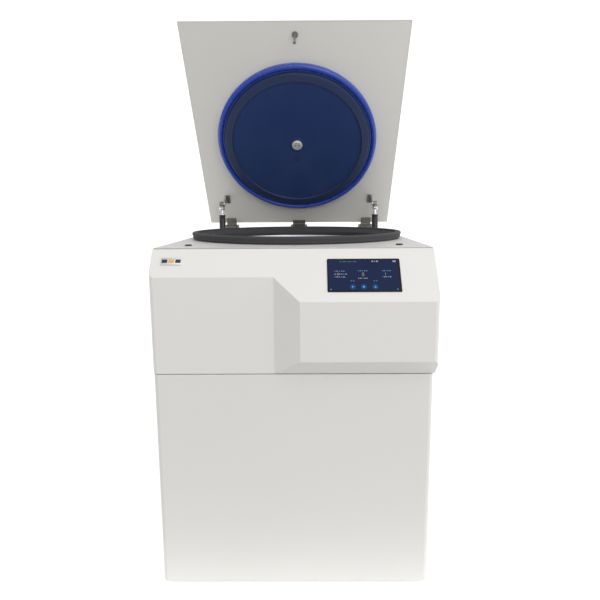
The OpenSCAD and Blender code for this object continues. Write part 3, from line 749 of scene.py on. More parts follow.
# One finish for each material slot of the record.
FINISHES: dict[str, Finish] = {
    "frame_steel": PowderCoat("frame_powder_coat", (0.045, 0.048, 0.052), 0.5),
    "cabinet_paint": PowderCoat("cabinet_powder_coat", (0.80, 0.785, 0.755), 0.42),
    "cover_white": PowderCoat("cover_enamel", (0.82, 0.805, 0.775), 0.36, peel=0.00004),
    "deck_paint": PowderCoat("deck_powder_coat", (0.63, 0.625, 0.605), 0.5),
    "liner_white": PowderCoat("lid_liner_sheet", (0.74, 0.73, 0.69), 0.5, mottle=0.015),
    "foam": RigidFoam("insulation_foam", (0.72, 0.6, 0.3), 0.95),
    "collar_rubber": MouldedRubber("collar_rubber", (0.055, 0.055, 0.057), 0.46),
    "black_rubber": MouldedRubber("pad_rubber", (0.02, 0.02, 0.02), 0.62, dust=0.2),
    "screen_glass": GlassFront("display_glass", (0.010, 0.017, 0.050), 0.12),
    "circuit": Moulding("circuit_board", (0.02, 0.12, 0.05), 0.4),
    "badge": BrushedMetal("badge_alloy", (0.82, 0.82, 0.81), 0.42),
    "bowl_steel": SpunSteel("bowl_steel", (0.66, 0.66, 0.665), 0.27, centre=(ROTOR_AT[0], ROTOR_AT[1])),
    "copper": PlatedSteel("copper_tube", (0.62, 0.27, 0.14), 0.36, stain=0.6),
    "guard_steel": PlatedSteel("guard_steel", (0.12, 0.125, 0.135), 0.5, spangle=60.0),
    "motor_paint": PowderCoat("motor_enamel", (0.03, 0.075, 0.15), 0.4),
    "bright_steel": BrushedMetal("ground_steel", (0.62, 0.62, 0.63), 0.24, along=Axis.Y),
    "chrome": PlatedSteel("chrome_plate", (0.78, 0.78, 0.80), 0.1, spangle=900.0, stain=0.12),
    "black_metal": PowderCoat("black_enamel", (0.02, 0.02, 0.022), 0.34, mottle=0.1),
    "alloy": BrushedMetal("anodised_alloy", (0.50, 0.51, 0.53), 0.33, along=Axis.Z, lines=1400.0),
    "black_plastic": Moulding("black_moulding", (0.016, 0.016, 0.018), 0.48),
    "electronics_case": PowderCoat("electronics_case", (0.07, 0.08, 0.09), 0.5),
    "zinc": PlatedSteel("zinc_plate", (0.31, 0.29, 0.26), 0.5),
    "plug_blue": Moulding("blue_moulding", (0.012, 0.036, 0.140), 0.36, texture=0.00001, coat=0.15),
    "rocker_red": Moulding("red_moulding", (0.36, 0.012, 0.012), 0.25, texture=0.00001),
    "latch_steel": PlatedSteel("latch_plate", (0.42, 0.40, 0.35), 0.38, spangle=300.0),
}

# Finishes of single pieces that differ from the rest of their slot.
BEZEL = Moulding("screen_bezel", (0.006, 0.006, 0.009), 0.3, texture=0.000004, gloss=0.15)
PLUG_SLOTS = Moulding("plug_slot_shadow", (0.006, 0.016, 0.075), 0.45)
# Painted highlight: the plug's blue made lighter and more saturated on its round rim, where the rim catches the
# light.
PLUG_RIM_PAINTED_HIGHLIGHT = Moulding("plug_rim_gloss", (0.020, 0.060, 0.400), 0.26, texture=0.00001, coat=0.35)
# Painted shade: the plug's blue made darker on the band inside the rim.
PLUG_BAND_PAINTED_SHADE = Moulding("plug_band_matt", (0.010, 0.026, 0.085), 0.55)
BADGE_DARK = Moulding("badge_dark_inlay", (0.022, 0.026, 0.060), 0.3)
BADGE_AMBER = Moulding("badge_amber_inlay", (0.75, 0.48, 0.06), 0.3)
SCREW_STEEL = PlatedSteel("screw_nickel", (0.92, 0.91, 0.88), 0.55, spangle=900.0, stain=0.1)
STRIKER_STEEL = PlatedSteel("striker_steel", (0.30, 0.30, 0.31), 0.32, spangle=500.0)
LIT_WHITE = LitMark("lit_white", (0.26, 0.30, 0.40), 0.3, 0.25)
LIT_BLUE = LitMark("lit_blue", (0.10, 0.18, 0.34), 0.3, 0.25)
LIT_GREEN = LitMark("lit_green", (0.07, 0.13, 0.13), 0.3, 0.25)
LIT_FIGURES = LitMark("lit_figures", (0.30, 0.28, 0.28), 0.4, 0.25)
LIT_BUTTON = LitMark("lit_button", (0.006, 0.045, 0.16), 0.4, 0.3)
LIT_SIGNS = LitMark("lit_signs", (0.10, 0.34, 0.62), 0.4, 0.3)


def dress(piece: bpy.types.Object, finish: Finish) -> None:
    """Gives a piece one finish all over.

    Args:
        piece: The piece.
        finish: Its finish.
    """
    piece.data.materials.clear()
    piece.data.materials.append(finish.build())
    indices = np.zeros(len(piece.data.polygons), np.int32)
    piece.data.polygons.foreach_set("material_index", indices)


def fit_out(piece: bpy.types.Object, body: str, slot: str, finish: Finish | None = None,
            stands_for: tuple[str, ...] = ()) -> bpy.types.Object:
    """Dresses a piece, sets it riding on its body and reports it.

    Args:
        piece: The piece.
        body: The body that it moves with.
        slot: The record's material slot.
        finish: Its finish; the slot's own if left out.
        stands_for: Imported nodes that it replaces.

    Returns:
        The piece.
    """
    dress(piece, finish or FINISHES[slot])
    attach(piece, body)
    if stands_for:
        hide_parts(*stands_for)
    LOG.info("%s rides on %s", piece.name, body)
    return piece


def reskin(node: str, width: float, segments: int = 2, angle: float = 25.0,
           shortest: float = 0.0) -> bpy.types.Object:
    """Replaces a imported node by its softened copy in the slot's finish.

    Args:
        node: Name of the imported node.
        width: Width of the edge rounding, in metres.
        segments: Steps across the rounding.
        angle: Edges that bend more than this many degrees are rounded.
        shortest: Edges shorter than this stay crisp.

    Returns:
        The new piece.
    """
    piece = softened(node, width, segments, angle, shortest)
    return fit_out(piece, BODY_OF[node], SLOT_OF[node], stands_for=(node,))


def repaint(*nodes: str) -> None:
    """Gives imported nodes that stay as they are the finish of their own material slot.

    Args:
        nodes: Names of the nodes.
    """
    for node in nodes:
        finish = FINISHES[SLOT_OF[node]].build()
        holder = frame["nodes"][node]
        if not holder.material_slots:
            holder.data.materials.append(finish)
        for place in holder.material_slots:
            place.material = finish
        LOG.info("%s keeps its packed shape", node)


# ---------------------------------------------------------------------------
# Sub-assemblies
# ---------------------------------------------------------------------------


@dataclass(frozen=True)
class Cabinet:
    """Sheet-metal case: covers, panels, deck, feet and what is screwed to the rear."""

    panel_edge: float = 0.9 * MM
    cover_edge: float = 1.4 * MM
    panel_shortest: float = 250 * MM
    blade_count: int = 9
    blade_low: float = 120 * MM
    blade_pitch: float = 16 * MM
    blade_ends: Pair = (149 * MM, 311 * MM)
    blade_near: float = 3.5 * MM
    blade_far: float = 12.5 * MM
    blade_above: float = 5.5 * MM
    blade_below: float = 4.0 * MM
    blade_thickness: Pair = (1.8 * MM, 1.2 * MM)
    hood_count: int = 10
    hood_low: float = 560 * MM
    hood_pitch: float = 18 * MM
    hood_width: float = 208 * MM
    hood_height: float = 10 * MM
    hood_rise: float = 4.5 * MM

    def build(self) -> None:
        """Rounds the case's edges and adds what closes its openings."""
        reskin("upper_front_cover", self.cover_edge, 3)
        reskin("lower_front_panel", self.cover_edge, 3)
        for node in ("left_side_panel", "right_side_panel", "rear_panel", "top_deck"):
            reskin(node, self.panel_edge, 2, shortest=self.panel_shortest)
        for node in ("power_inlet", "switch_bezel", "power_rocker", "fan_grille", "panel_screws"):
            reskin(node, 0.4 * MM, 2, 35.0)
        reskin("levelling_feet", 0.8 * MM, 2, 35.0)
        for side in Side:
            self.side_louvres(side)
        self.rear_louvres()

    def side_louvres(self, side: Side) -> None:
        """Slanted blades behind the slots of one side panel, each a flat bar that runs down inwards.

        Args:
            side: Side of the panel.
        """
        name = side.word
        low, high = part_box(f"{name}_side_panel")
        face = high.x if side is Side.RIGHT else low.x
        near, far = face - side.value * self.blade_near, face - side.value * self.blade_far
        outer, inner = self.blade_thickness
        points, faces = [], []
        for row in range(self.blade_count):
            z = self.blade_low + self.blade_pitch * row
            top, bottom = z + self.blade_above, z - self.blade_below
            bar = np.array([[near, top], [far, bottom], [far, bottom - inner], [near, top - outer]])
            points += [np.column_stack([bar[:, 0], np.full(4, y), bar[:, 1]]) for y in self.blade_ends]
            first = 8 * row
            ends = np.array([[0, 1, 2, 3], [7, 6, 5, 4]])
            faces += (np.vstack([grid_faces(2, 4, wrap=True), ends]) + first).tolist()
        blades = make_piece(f"{name}_louvres", np.concatenate(points), faces)
        fit_out(blades, "cabinet", "cabinet_paint")

    def rear_louvres(self) -> None:
        """Pressed hoods over the rear slots: a quarter round that opens downwards, one per slot.

        A hood's section is (rise sin t, height cos t) for t from 0 to 90 degrees, its rise falls to
        nothing at both ends as a power of a sine, and its wall is the same skin moved inwards.
        """
        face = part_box("rear_panel")[1].y
        rows, cols = 8, 24
        size = rows * cols
        s = np.linspace(0.0, 1.0, cols)
        x = self.hood_width * (s - 0.5)
        rise = self.hood_rise * np.clip(np.sin(math.pi * s) * 6.0, 0.0, 1.0) ** 0.6
        t = np.radians(np.linspace(0.0, 90.0, rows))[:, None]
        wall = np.array([0.0, -0.9 * MM, -0.6 * MM])
        front = grid_faces(rows, cols)
        rim = np.concatenate([np.arange(cols), np.arange(1, rows) * cols + cols - 1,
                              size - 2 - np.arange(cols - 1), np.arange(rows - 2, 0, -1) * cols])
        after = np.roll(rim, -1)
        closing = np.stack([rim, after, after + size, rim + size], axis=1)
        points, faces = [], []
        for index in range(self.hood_count):
            middle = self.hood_low + self.hood_pitch * index
            z = middle - 0.5 * MM + self.hood_height * np.cos(t) + 0.0 * s
            skin = np.stack([x + 0.0 * t, face + rise * np.sin(t), z], axis=-1).reshape(-1, 3)
            points += [skin, skin + wall]
            all_faces = np.concatenate([front, (front + size)[:, ::-1], closing])
            faces += (all_faces + 2 * size * index).tolist()
        hoods = make_piece("rear_louvre_hoods", np.concatenate(points), faces)
        fit_out(hoods, "cabinet", "cabinet_paint")


@dataclass(frozen=True)
class ControlPanel:
    """Touch screen, its picture and the plain badge, all on the slope of the upper cover."""

    width: float = 160 * MM
    height: float = 83 * MM
    middle_x: float = 156 * MM
    drop: float = 30.5 * MM
    glass_top: float = 0.6 * MM
    mark: float = 0.12 * MM
    bar_share: float = 0.028
    badge_height: float = 18 * MM
    badge_drop: float = 35 * MM
    bar_pitch: float = 15 * MM
    bar_size: Pair = (12 * MM, 9 * MM)

    def slope(self) -> Place:
        """Working frame on the slope: X right and Y up it, from the middle of its upper edge."""
        low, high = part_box("top_deck")
        return tilted((0.0, low.y, high.z), 90.0 - SLOPE_LEAN)

    def place(self) -> Place:
        """Working frame on the glass: X right, Y up the slope, from the picture's middle."""
        return self.slope().moved(self.middle_x, -self.drop - self.height / 2)

    def spot(self, across: float, down: float) -> Pair:
        """Turns shares of the picture's width and height, from its top left, into a place."""
        return (across - 0.5) * self.width, (0.5 - down) * self.height

    def bars(self, rows: list[tuple[float, float, float, float]]) -> list[np.ndarray]:
        """Runs of short bars of uneven width that stand for lines of small print.

        Args:
            rows: Left end, right end, place from the top and thickness of each line, all as shares.

        Returns:
            The bars' outlines.
        """
        shapes = []
        for left, right, down, thick in rows:
            count = max(1, round((right - left) / self.bar_share))
            pitch = (right - left) / count
            for index in range(count):
                width = pitch * (0.55 + 0.3 * math.sin(2.4 * index + 31.0 * down))
                at = self.spot(left + pitch * (index + 0.5), down)
                shapes.append(rounded_box(width * self.width, thick * self.height, 0.12 * MM, at))
        return shapes

    def digit(self, lit: str, across: float, down: float, tall: float = 7.2 * MM) -> list[np.ndarray]:
        """One seven-segment figure.

        Args:
            lit: Its lit segments: a top, b c right, d bottom, e f left, g middle.
            across: Its middle, as a share of the picture's width.
            down: Its middle, as a share of the picture's height.
            tall: Its height.

        Returns:
            The segments' outlines.
        """
        x, y = self.spot(across, down)
        wide, thick = tall * 0.46, tall * 0.13
        half = tall / 4
        bars = {"a": (0, 2, 1), "g": (0, 0, 1), "d": (0, -2, 1), "f": (-1, 1, 0), "b": (1, 1, 0),
                "e": (-1, -1, 0), "c": (1, -1, 0)}
        shapes = []
        for name in lit:
            sx, sy, flat = bars[name]
            size = (wide - thick * 0.4, thick) if flat else (thick, 2 * half - thick * 0.4)
            shapes.append(rounded_box(*size, thick * 0.3, (x + sx * wide / 2, y + sy * half)))
        return shapes

    def layer(self, name: str, shapes: list[np.ndarray], finish: Finish, level: float = 0.0) -> None:
        """Adds one colour of the picture.

        Args:
            name: Name of the piece.
            shapes: Outlines on the glass.
            finish: Its finish.
            level: Height of its back above the glass.
        """
        low = self.glass_top + level
        piece = plates(name, shapes, low - 0.05 * MM, low + self.mark, self.place())
        fit_out(piece, "cabinet", "screen_glass", finish)

    def build(self) -> None:
        """Builds the glass, the picture's marks and the badge."""
        sheet = [rounded_box(self.width, self.height, 2 * MM)]
        glass = plates("screen_panel", sheet, -3.0 * MM, self.glass_top, self.place(), 0.5 * MM)
        fit_out(glass, "cabinet", "screen_glass", BEZEL, ("touch_screen",))
        picture = rounded_box(self.width * 0.955, self.height * 0.93, 0.8 * MM, (-1.2 * MM, 0.6 * MM))
        self.layer("screen_picture", [picture], FINISHES["screen_glass"], -0.06 * MM)
        self.print_lines()
        figures = self.digit("abged", 0.145, 0.475, 5.4 * MM)
        figures += self.digit("abcdef", 0.487, 0.485) + self.digit("bc", 0.782, 0.475)
        self.layer("screen_figures", figures, LIT_FIGURES, 0.2 * MM)
        self.buttons()
        self.badge()

    def print_lines(self) -> None:
        """Rows of bars in white, blue and green that stand for the picture's small print."""
        white = self.bars([(0.61, 0.705, 0.085, 0.042)])
        battery = rounded_box(0.042 * self.width, 0.052 * self.height, 0.3 * MM, self.spot(0.925, 0.085))
        small = [(0.09, 0.27, 0.475, 0.022), (0.09, 0.24, 0.56, 0.026), (0.41, 0.55, 0.60, 0.024),
                 (0.74, 0.87, 0.56, 0.024)]
        self.layer("screen_white_marks", white + [battery] + self.bars(small), LIT_WHITE)
        titles = [(0.09, 0.24, 0.385, 0.03), (0.41, 0.55, 0.375, 0.03), (0.74, 0.87, 0.375, 0.03)]
        self.layer("screen_blue_marks", self.bars(titles) + self.triangles(), LIT_BLUE)
        self.layer("screen_green_marks", self.bars([(0.17, 0.41, 0.09, 0.030)]), LIT_GREEN)

    def triangles(self) -> list[np.ndarray]:
        """Two pairs of small step arrows below the figures, each pair for less and for more.

        Returns:
            The arrows' outlines.
        """
        shapes = []
        for across, way in ((0.32, -1), (0.36, 1), (0.63, -1), (0.67, 1)):
            x, y = self.spot(across, 0.68)
            reach, half = 1.7 * MM * way, 1.5 * MM
            shapes.append(np.array([[x - reach, y - half], [x + reach, y], [x - reach, y + half]]))
        return shapes

    def buttons(self) -> None:
        """Three round touch buttons with generic start, stop and open signs."""
        spots = [self.spot(across, 0.855) for across in (0.34, 0.487, 0.643)]
        rounds = [disc_outline(6.6 * MM, at) for at in spots]
        self.layer("screen_buttons", rounds, LIT_BUTTON, 0.06 * MM)
        (x1, y1), (x2, y2), (x3, y3) = spots
        r = 2.3 * MM
        signs = [
            np.array([[x1 - r * 0.7, y1 - r], [x1 + r * 1.1, y1], [x1 - r * 0.7, y1 + r]]),
            rounded_box(1.7 * r, 1.7 * r, 0.3 * MM, (x2, y2)),
            np.array([[x3 - r, y3 - r * 0.1], [x3 + r, y3 - r * 0.1], [x3, y3 + r]]),
            rounded_box(2.0 * r, 0.5 * r, 0.2 * MM, (x3, y3 - r * 0.75)),
        ]
        corners = [disc_outline(1.3 * MM, self.spot(across, 0.93), 16) for across in (0.045, 0.94)]
        self.layer("screen_signs", signs + corners, LIT_SIGNS, 0.2 * MM)

    def badge(self) -> None:
        """A pale plate with a turned-down edge and three plain inlaid bars instead of a name."""
        low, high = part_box("badge_plate")
        middle, down = (low.x + high.x) / 2, -self.badge_drop
        slope = self.slope()
        sheet = [rounded_box(high.x - low.x, self.badge_height, 2 * MM, (middle, down))]
        plate = plates("blank_badge", sheet, 0.0, 0.8 * MM, slope, 0.4 * MM)
        fit_out(plate, "cabinet", "badge", stands_for=("badge_plate",))
        for name, place, finish in (("left", -1, BADGE_DARK), ("middle", 0, BADGE_AMBER),
                                    ("right", 1, BADGE_DARK)):
            bar = rounded_box(*self.bar_size, 1 * MM, (middle + place * self.bar_pitch, down))
            inlay = plates(f"badge_bar_{name}", [bar], 0.3 * MM, 0.86 * MM, slope)
            fit_out(inlay, "cabinet", "badge", finish)


@dataclass(frozen=True)
class Chamber:
    """Rubber collar, spun bowl and shaft seal round the rotor, and the deck's blind plugs."""

    bowl_radius: float = 268 * MM
    bowl_wall: float = 2 * MM
    corner: float = 40 * MM
    hole: float = 28 * MM
    lip_width: float = 16 * MM
    lip_edge: float = 4.5 * MM
    skirt_drop: float = 9 * MM

    def place(self) -> Place:
        """Working frame on the shaft's axis, at the floor's height."""
        return Place((ROTOR_AT[0], ROTOR_AT[1], 0.0))

    def build(self) -> None:
        """Builds the collar, the bowl, the seal and the deck's blind plugs."""
        self.collar()
        self.bowl()
        reskin("shaft_seal", 0.8 * MM, 2, 30.0)
        reskin("deck_plugs", 0.7 * MM, 3, 30.0)

    def collar(self) -> None:
        """Collar: a flat lip with round edges, a sloping inner skirt with two beads, and an undercut."""
        low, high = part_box("deck_gasket")
        outer, top = (high.x - low.x) / 2, high.z
        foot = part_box("top_deck")[1].z
        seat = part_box("chamber_bowl")[1].z
        inner, edge = outer - self.lip_width, self.lip_edge
        skirt, lap = self.bowl_radius - 2.5 * MM, self.bowl_radius - 0.2 * MM
        hem = seat - self.skirt_drop
        slope = np.linspace(0.0, 1.0, 15)[1:-1]
        start, end = np.array([skirt, seat + 2 * MM]), np.array([inner, top - edge])
        ribs = 0.5 * MM * np.clip(np.sin(slope * math.pi * 4), 0.0, 1.0)
        wall = start + slope[:, None] * (end - start) + ribs[:, None] * np.array([0.6, 0.8])
        profile = loop(
            (lap, seat), (lap, hem), (skirt + 0.8 * MM, hem), (skirt, hem + 0.8 * MM),
            (skirt, seat + 2 * MM), wall,
            arc((inner + edge, top - edge), edge, 180, 90, 8),
            (outer - self.lip_width / 2, top - 0.25 * MM),
            arc((outer - edge, top - edge), edge, 90, -20, 10),
            (outer - 1.4 * MM, top - 8.5 * MM),
            arc((outer - 3.4 * MM, foot + 5.2 * MM), 1.6 * MM, 60, -60, 5),
            (outer - 5 * MM, foot + 1.5 * MM), (outer - 5 * MM, foot),
            (outer - 7.5 * MM, foot), (outer - 7.5 * MM, seat),
        )
        piece = lathe("collar_ring", profile, self.place(), 192, 50.0)
        fit_out(piece, "cabinet", "collar_rubber", stands_for=("deck_gasket",))

    def bowl(self) -> None:
        """Bowl: wall with one bead, round corner and floor as one sheet, and a flange on the deck."""
        low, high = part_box("chamber_bowl")
        rim, top, floor = (high.x - low.x) / 2, high.z, low.z + self.bowl_wall
        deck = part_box("top_deck")[1].z
        r, c, t = self.bowl_radius, self.corner, self.bowl_wall
        bead = arc((r - 1.0 * MM, 0.5 * (floor + deck)), 2.5 * MM, -55, 55, 6)
        inside = outline((self.hole, floor), arc((r - c, floor + c), c, -90, 0, 14), bead,
                         (r, top - 1.0 * MM), (r + 1.0 * MM, top), (rim, top))
        outside = outline((rim, deck), (r + t, deck), arc((r - c, floor + c), c + t, 0, -90, 14),
                          (self.hole, floor - t))
        piece = lathe("chamber_wall", loop(inside, outside), self.place(), 160, 50.0)
        fit_out(piece, "cabinet", "bowl_steel", stands_for=("chamber_bowl",))


@dataclass(frozen=True)
class LidAssembly:
    """Lid: case, inner sheet, blue plug, centre screw, striker, hinge arms and strut brackets."""

    back: float = 16.5 * MM
    lift: float = 2.4 * MM
    length: float = 676 * MM
    width: float = 630 * MM
    thickness: float = 36 * MM
    wall: float = 2.5 * MM
    sheet: float = 2.5 * MM
    corner: float = 3 * MM
    edge: float = 2.5 * MM
    plug_along: float = 318.5 * MM
    plug_radius: float = 247 * MM
    rim: float = 8 * MM
    rim_height: float = 19 * MM
    disc_level: float = 20 * MM
    band: float = 202 * MM
    boss: float = 24 * MM
    striker_along: float = 640 * MM
    striker_length: float = 62 * MM

    def place(self) -> Place:
        """Finds where the lid lies when it is built, which is open.

        Returns:
            The working frame on its underside: Y towards its rear, Z out of its top.
        """
        hinge = JOINTS["lid_hinge"]
        closed = tilted(tuple(hinge["pos_m"]), -hinge["range_deg"][1])
        return closed.moved(0.0, -self.back, self.lift)

    def underside(self, along: float) -> Place:
        """Working frame whose Z points out of the underside, at a distance from the rear edge."""
        lid = self.place().moved(0.0, -along)
        return Place(lid.origin, lid.x, tuple(-np.array(lid.y)), tuple(-np.array(lid.z)))

    def build(self) -> None:
        """Builds the lid and everything that rides on it."""
        self.shell()
        self.liner()
        reskin("hinge_arms", 1.0 * MM, 2)
        reskin("strut_brackets", 0.8 * MM, 2)
        self.plug()
        self.centre_screw()
        self.striker()

    def ring(self, inset: float, level: float) -> np.ndarray:
        """Outline of the lid at one level: a round-cornered rectangle whose front leans back.

        Args:
            inset: Distance from the lid's outer faces, measured square to them.
            level: Height above the underside.

        Returns:
            The outline's points in the lid's working frame.
        """
        lean = math.radians(SLOPE_LEAN)
        front = -self.length + inset / math.cos(lean) + level * math.tan(lean)
        back, half = -inset, self.width / 2 - inset
        radius = max(self.corner - inset, 0.4 * MM)
        plan = rounded_box(2 * half, back - front, radius, (0.0, (back + front) / 2))
        return np.column_stack([plan, np.full(len(plan), level)])

    def tray(self, name: str, steps: list[tuple[float, float]]) -> bpy.types.Object:
        """Joins outlines at several insets and levels into one closed skin.

        Args:
            name: Name of the piece.
            steps: Inset and level of each outline; the first and the last are closed by a flat face.

        Returns:
            The new object.
        """
        rings = [self.ring(*step) for step in steps]
        n = len(rings[0])
        faces = grid_faces(len(rings), n, wrap=True).tolist()
        last = n * (len(rings) - 1)
        faces += [list(range(n - 1, -1, -1)), list(range(last, last + n))]
        return make_piece(name, self.place().put(np.concatenate(rings)), faces, 40.0)

    def shell(self) -> None:
        """Shell: a folded steel tray with round outer edges and a hemmed lower edge."""
        wall, edge, hem = self.wall, self.edge, 0.45 * self.wall
        top = self.thickness
        outer = [(edge - edge * math.cos(a), top - edge + edge * math.sin(a))
                 for a in np.radians(np.linspace(0.0, 90.0, 6))]
        fold = [(hem - hem * math.cos(a), hem - hem * math.sin(a))
                for a in np.radians(np.linspace(90.0, 0.0, 4))]
        steps = [(wall, top - wall), (wall, 0.2 * MM), (wall - 0.2 * MM, 0.0), *fold, *outer]
        fit_out(self.tray("lid_case", steps), "lid", "cover_white", stands_for=("lid_shell",))

    def liner(self) -> None:
        """Liner: a flat sheet that closes the shell from below, with an eased edge."""
        gap, ease = self.wall + 0.2 * MM, 0.5 * MM
        part = ease * ROUND_MIDDLE
        steps = [(gap + ease, 0.0), (gap + part, part), (gap, ease), (gap, self.sheet)]
        fit_out(self.tray("lid_inner_sheet", steps), "lid", "liner_white", stands_for=("lid_liner",))

    def plug(self) -> None:
        """Plug in three shades of blue: a round rim in a lighter blue of painted highlight, a band inside it in a
        darker blue of painted shade, and a recessed disc.
        """
        seat = self.underside(self.plug_along)
        groove = self.plug_radius - 2 * self.rim - 3 * MM
        self.plug_rim(seat, groove)
        self.plug_band(seat, groove)
        self.plug_disc(seat)

    def plug_rim(self, seat: Place, groove: float) -> None:
        """Rim: half a circle of its own radius, which turns down into the groove inside it.

        Args:
            seat: Working frame on the lid's underside, at the plug's middle.
            groove: Radius of the groove's bottom.
        """
        r, rim, h = self.plug_radius, self.rim, self.rim_height
        profile = loop(
            (groove - 2 * MM, 0.1 * MM), (r - 1 * MM, 0.1 * MM),
            arc((r - rim, h - rim), rim, 0, 180, 20),
            arc((groove + 1.2 * MM, h - 4.6 * MM), 1.6 * MM, -20, -120, 5),
            (groove - 2 * MM, h - 5.5 * MM),
        )
        hoop = lathe("plug_rim", profile, seat, 192, 40.0)
        # The rim's lighter blue is a painted highlight.
        fit_out(hoop, "lid", "plug_blue", PLUG_RIM_PAINTED_HIGHLIGHT, ("lid_plug",))

    def plug_band(self, seat: Place, groove: float) -> None:
        """Band: it rises straight from the groove to a rounded crest at the disc's edge.

        Args:
            seat: Working frame on the lid's underside, at the plug's middle.
            groove: Radius of the groove's bottom.
        """
        h, band, level = self.rim_height, self.band, self.disc_level
        crest = h + 6 * MM
        shoulder = self.plug_radius - 2 * self.rim - 8 * MM
        share = np.linspace(0.0, 1.0, 7)
        rise = np.column_stack([shoulder - 0.6 * MM + (band + 2.1 * MM - shoulder) * share,
                                h + 2.7 * MM + (crest - h - 3.1 * MM) * share])
        profile = loop(
            (band - 3 * MM, 0.2 * MM), (groove - 1 * MM, 0.2 * MM), (groove - 0.4 * MM, h - 5.2 * MM),
            (groove - 3.6 * MM, h - 0.4 * MM), (shoulder + 0.9 * MM, h + 1.4 * MM), rise,
            arc((band - 0.4 * MM, crest - 1.2 * MM), 1.2 * MM, 80, 180, 6),
            (band - 2.0 * MM, level + 2.0 * MM), (band - 3 * MM, level - 1 * MM),
        )
        ramp = lathe("plug_band", profile, seat, 192, 40.0)
        # The band's darker blue is painted shade.
        fit_out(ramp, "lid", "plug_blue", PLUG_BAND_PAINTED_SHADE, ("lid_plug",))

    def plug_disc(self, seat: Place) -> None:
        """Disc: it crowns by half a sine wave between its edge and the boss that holds the screw.

        Args:
            seat: Working frame on the lid's underside, at the plug's middle.
        """
        band, boss, level = self.band, self.boss, self.disc_level
        radii = np.linspace(band - 5 * MM, boss, 26)
        crown = 0.35 * MM * np.sin((radii - boss) / (band - boss) * math.pi)
        profile = outline(
            (0.0, 0.3 * MM), (band - 2.4 * MM, 0.3 * MM), (band - 2.0 * MM, level + 2.0 * MM),
            arc((band - 4.0 * MM, level + 2.0 * MM), 2.0 * MM, 0, -90, 5),
            np.column_stack([radii, level + crown]),
            arc((boss, level + 0.4 * MM), 0.4 * MM, -90, -180, 3), (boss - 1 * MM, level + 0.7 * MM),
            (0.0, level + 0.7 * MM),
        )
        disc = lathe("plug_disc", profile, seat, 192, 40.0)
        fit_out(disc, "lid", "plug_blue", stands_for=("lid_plug",))
        slots = [rounded_box(2.2 * MM, 19 * MM, 1.0 * MM, (x * MM, -48 * MM)) for x in (-6.5, 0.0, 6.5)]
        marks = plates("plug_slots", slots, level - 0.5 * MM, level + 0.9 * MM, seat, 0.4 * MM)
        fit_out(marks, "lid", "plug_blue", PLUG_SLOTS)

    def centre_screw(self) -> None:
        """Domed centre screw with a turned groove; its two spanner holes are black discs of painted shade."""
        low = self.rim_height + 1.2 * MM
        seat = self.underside(self.plug_along)
        profile = outline(
            (0.0, low), (16 * MM, low), arc((15.2 * MM, low + 2.0 * MM), 0.8 * MM, 0, 90, 5),
            (13.6 * MM, low + 2.8 * MM), (13.3 * MM, low + 2.4 * MM), (12.9 * MM, low + 2.8 * MM),
            arc((11.6 * MM, low + 3.2 * MM), 1.3 * MM, 10, 90, 5),
            (6.0 * MM, low + 4.7 * MM), (0.0, low + 4.8 * MM),
        )
        head = lathe("plug_screw_head", profile, seat, 64, 45.0)
        fit_out(head, "lid", "bright_steel", SCREW_STEEL, ("plug_screw",))
        top = low + 4.7 * MM
        # Painted shade: black discs on the head stand for the dark insides of the spanner holes.
        holes = plates("plug_screw_holes", [disc_outline(1.9 * MM, (x * MM, 0.0), 24) for x in (-6, 6)],
                       top - 1.5 * MM, top + 0.14 * MM, seat)
        fit_out(holes, "lid", "black_metal")

    def striker(self) -> None:
        """Striker: flange, stem, narrow neck and rounded knob, turned in one piece."""
        seat = self.underside(self.striker_along)
        end = self.striker_length
        profile = outline(
            (0.0, 0.1 * MM), (8.5 * MM, 0.1 * MM), arc((7.7 * MM, 3.3 * MM), 0.8 * MM, 0, 90, 4),
            (3.4 * MM, 4.1 * MM), arc((3.4 * MM, 5.0 * MM), 0.9 * MM, -90, -180, 4),
            (2.5 * MM, end - 6.4 * MM), (4.2 * MM, end - 5.6 * MM),
            arc((2.7 * MM, end - 1.5 * MM), 1.5 * MM, 0, 90, 5), (0.0, end),
        )
        piece = lathe("striker_pin", profile, seat, 48, 40.0)
        fit_out(piece, "lid", "chrome", STRIKER_STEEL, ("lid_striker",))


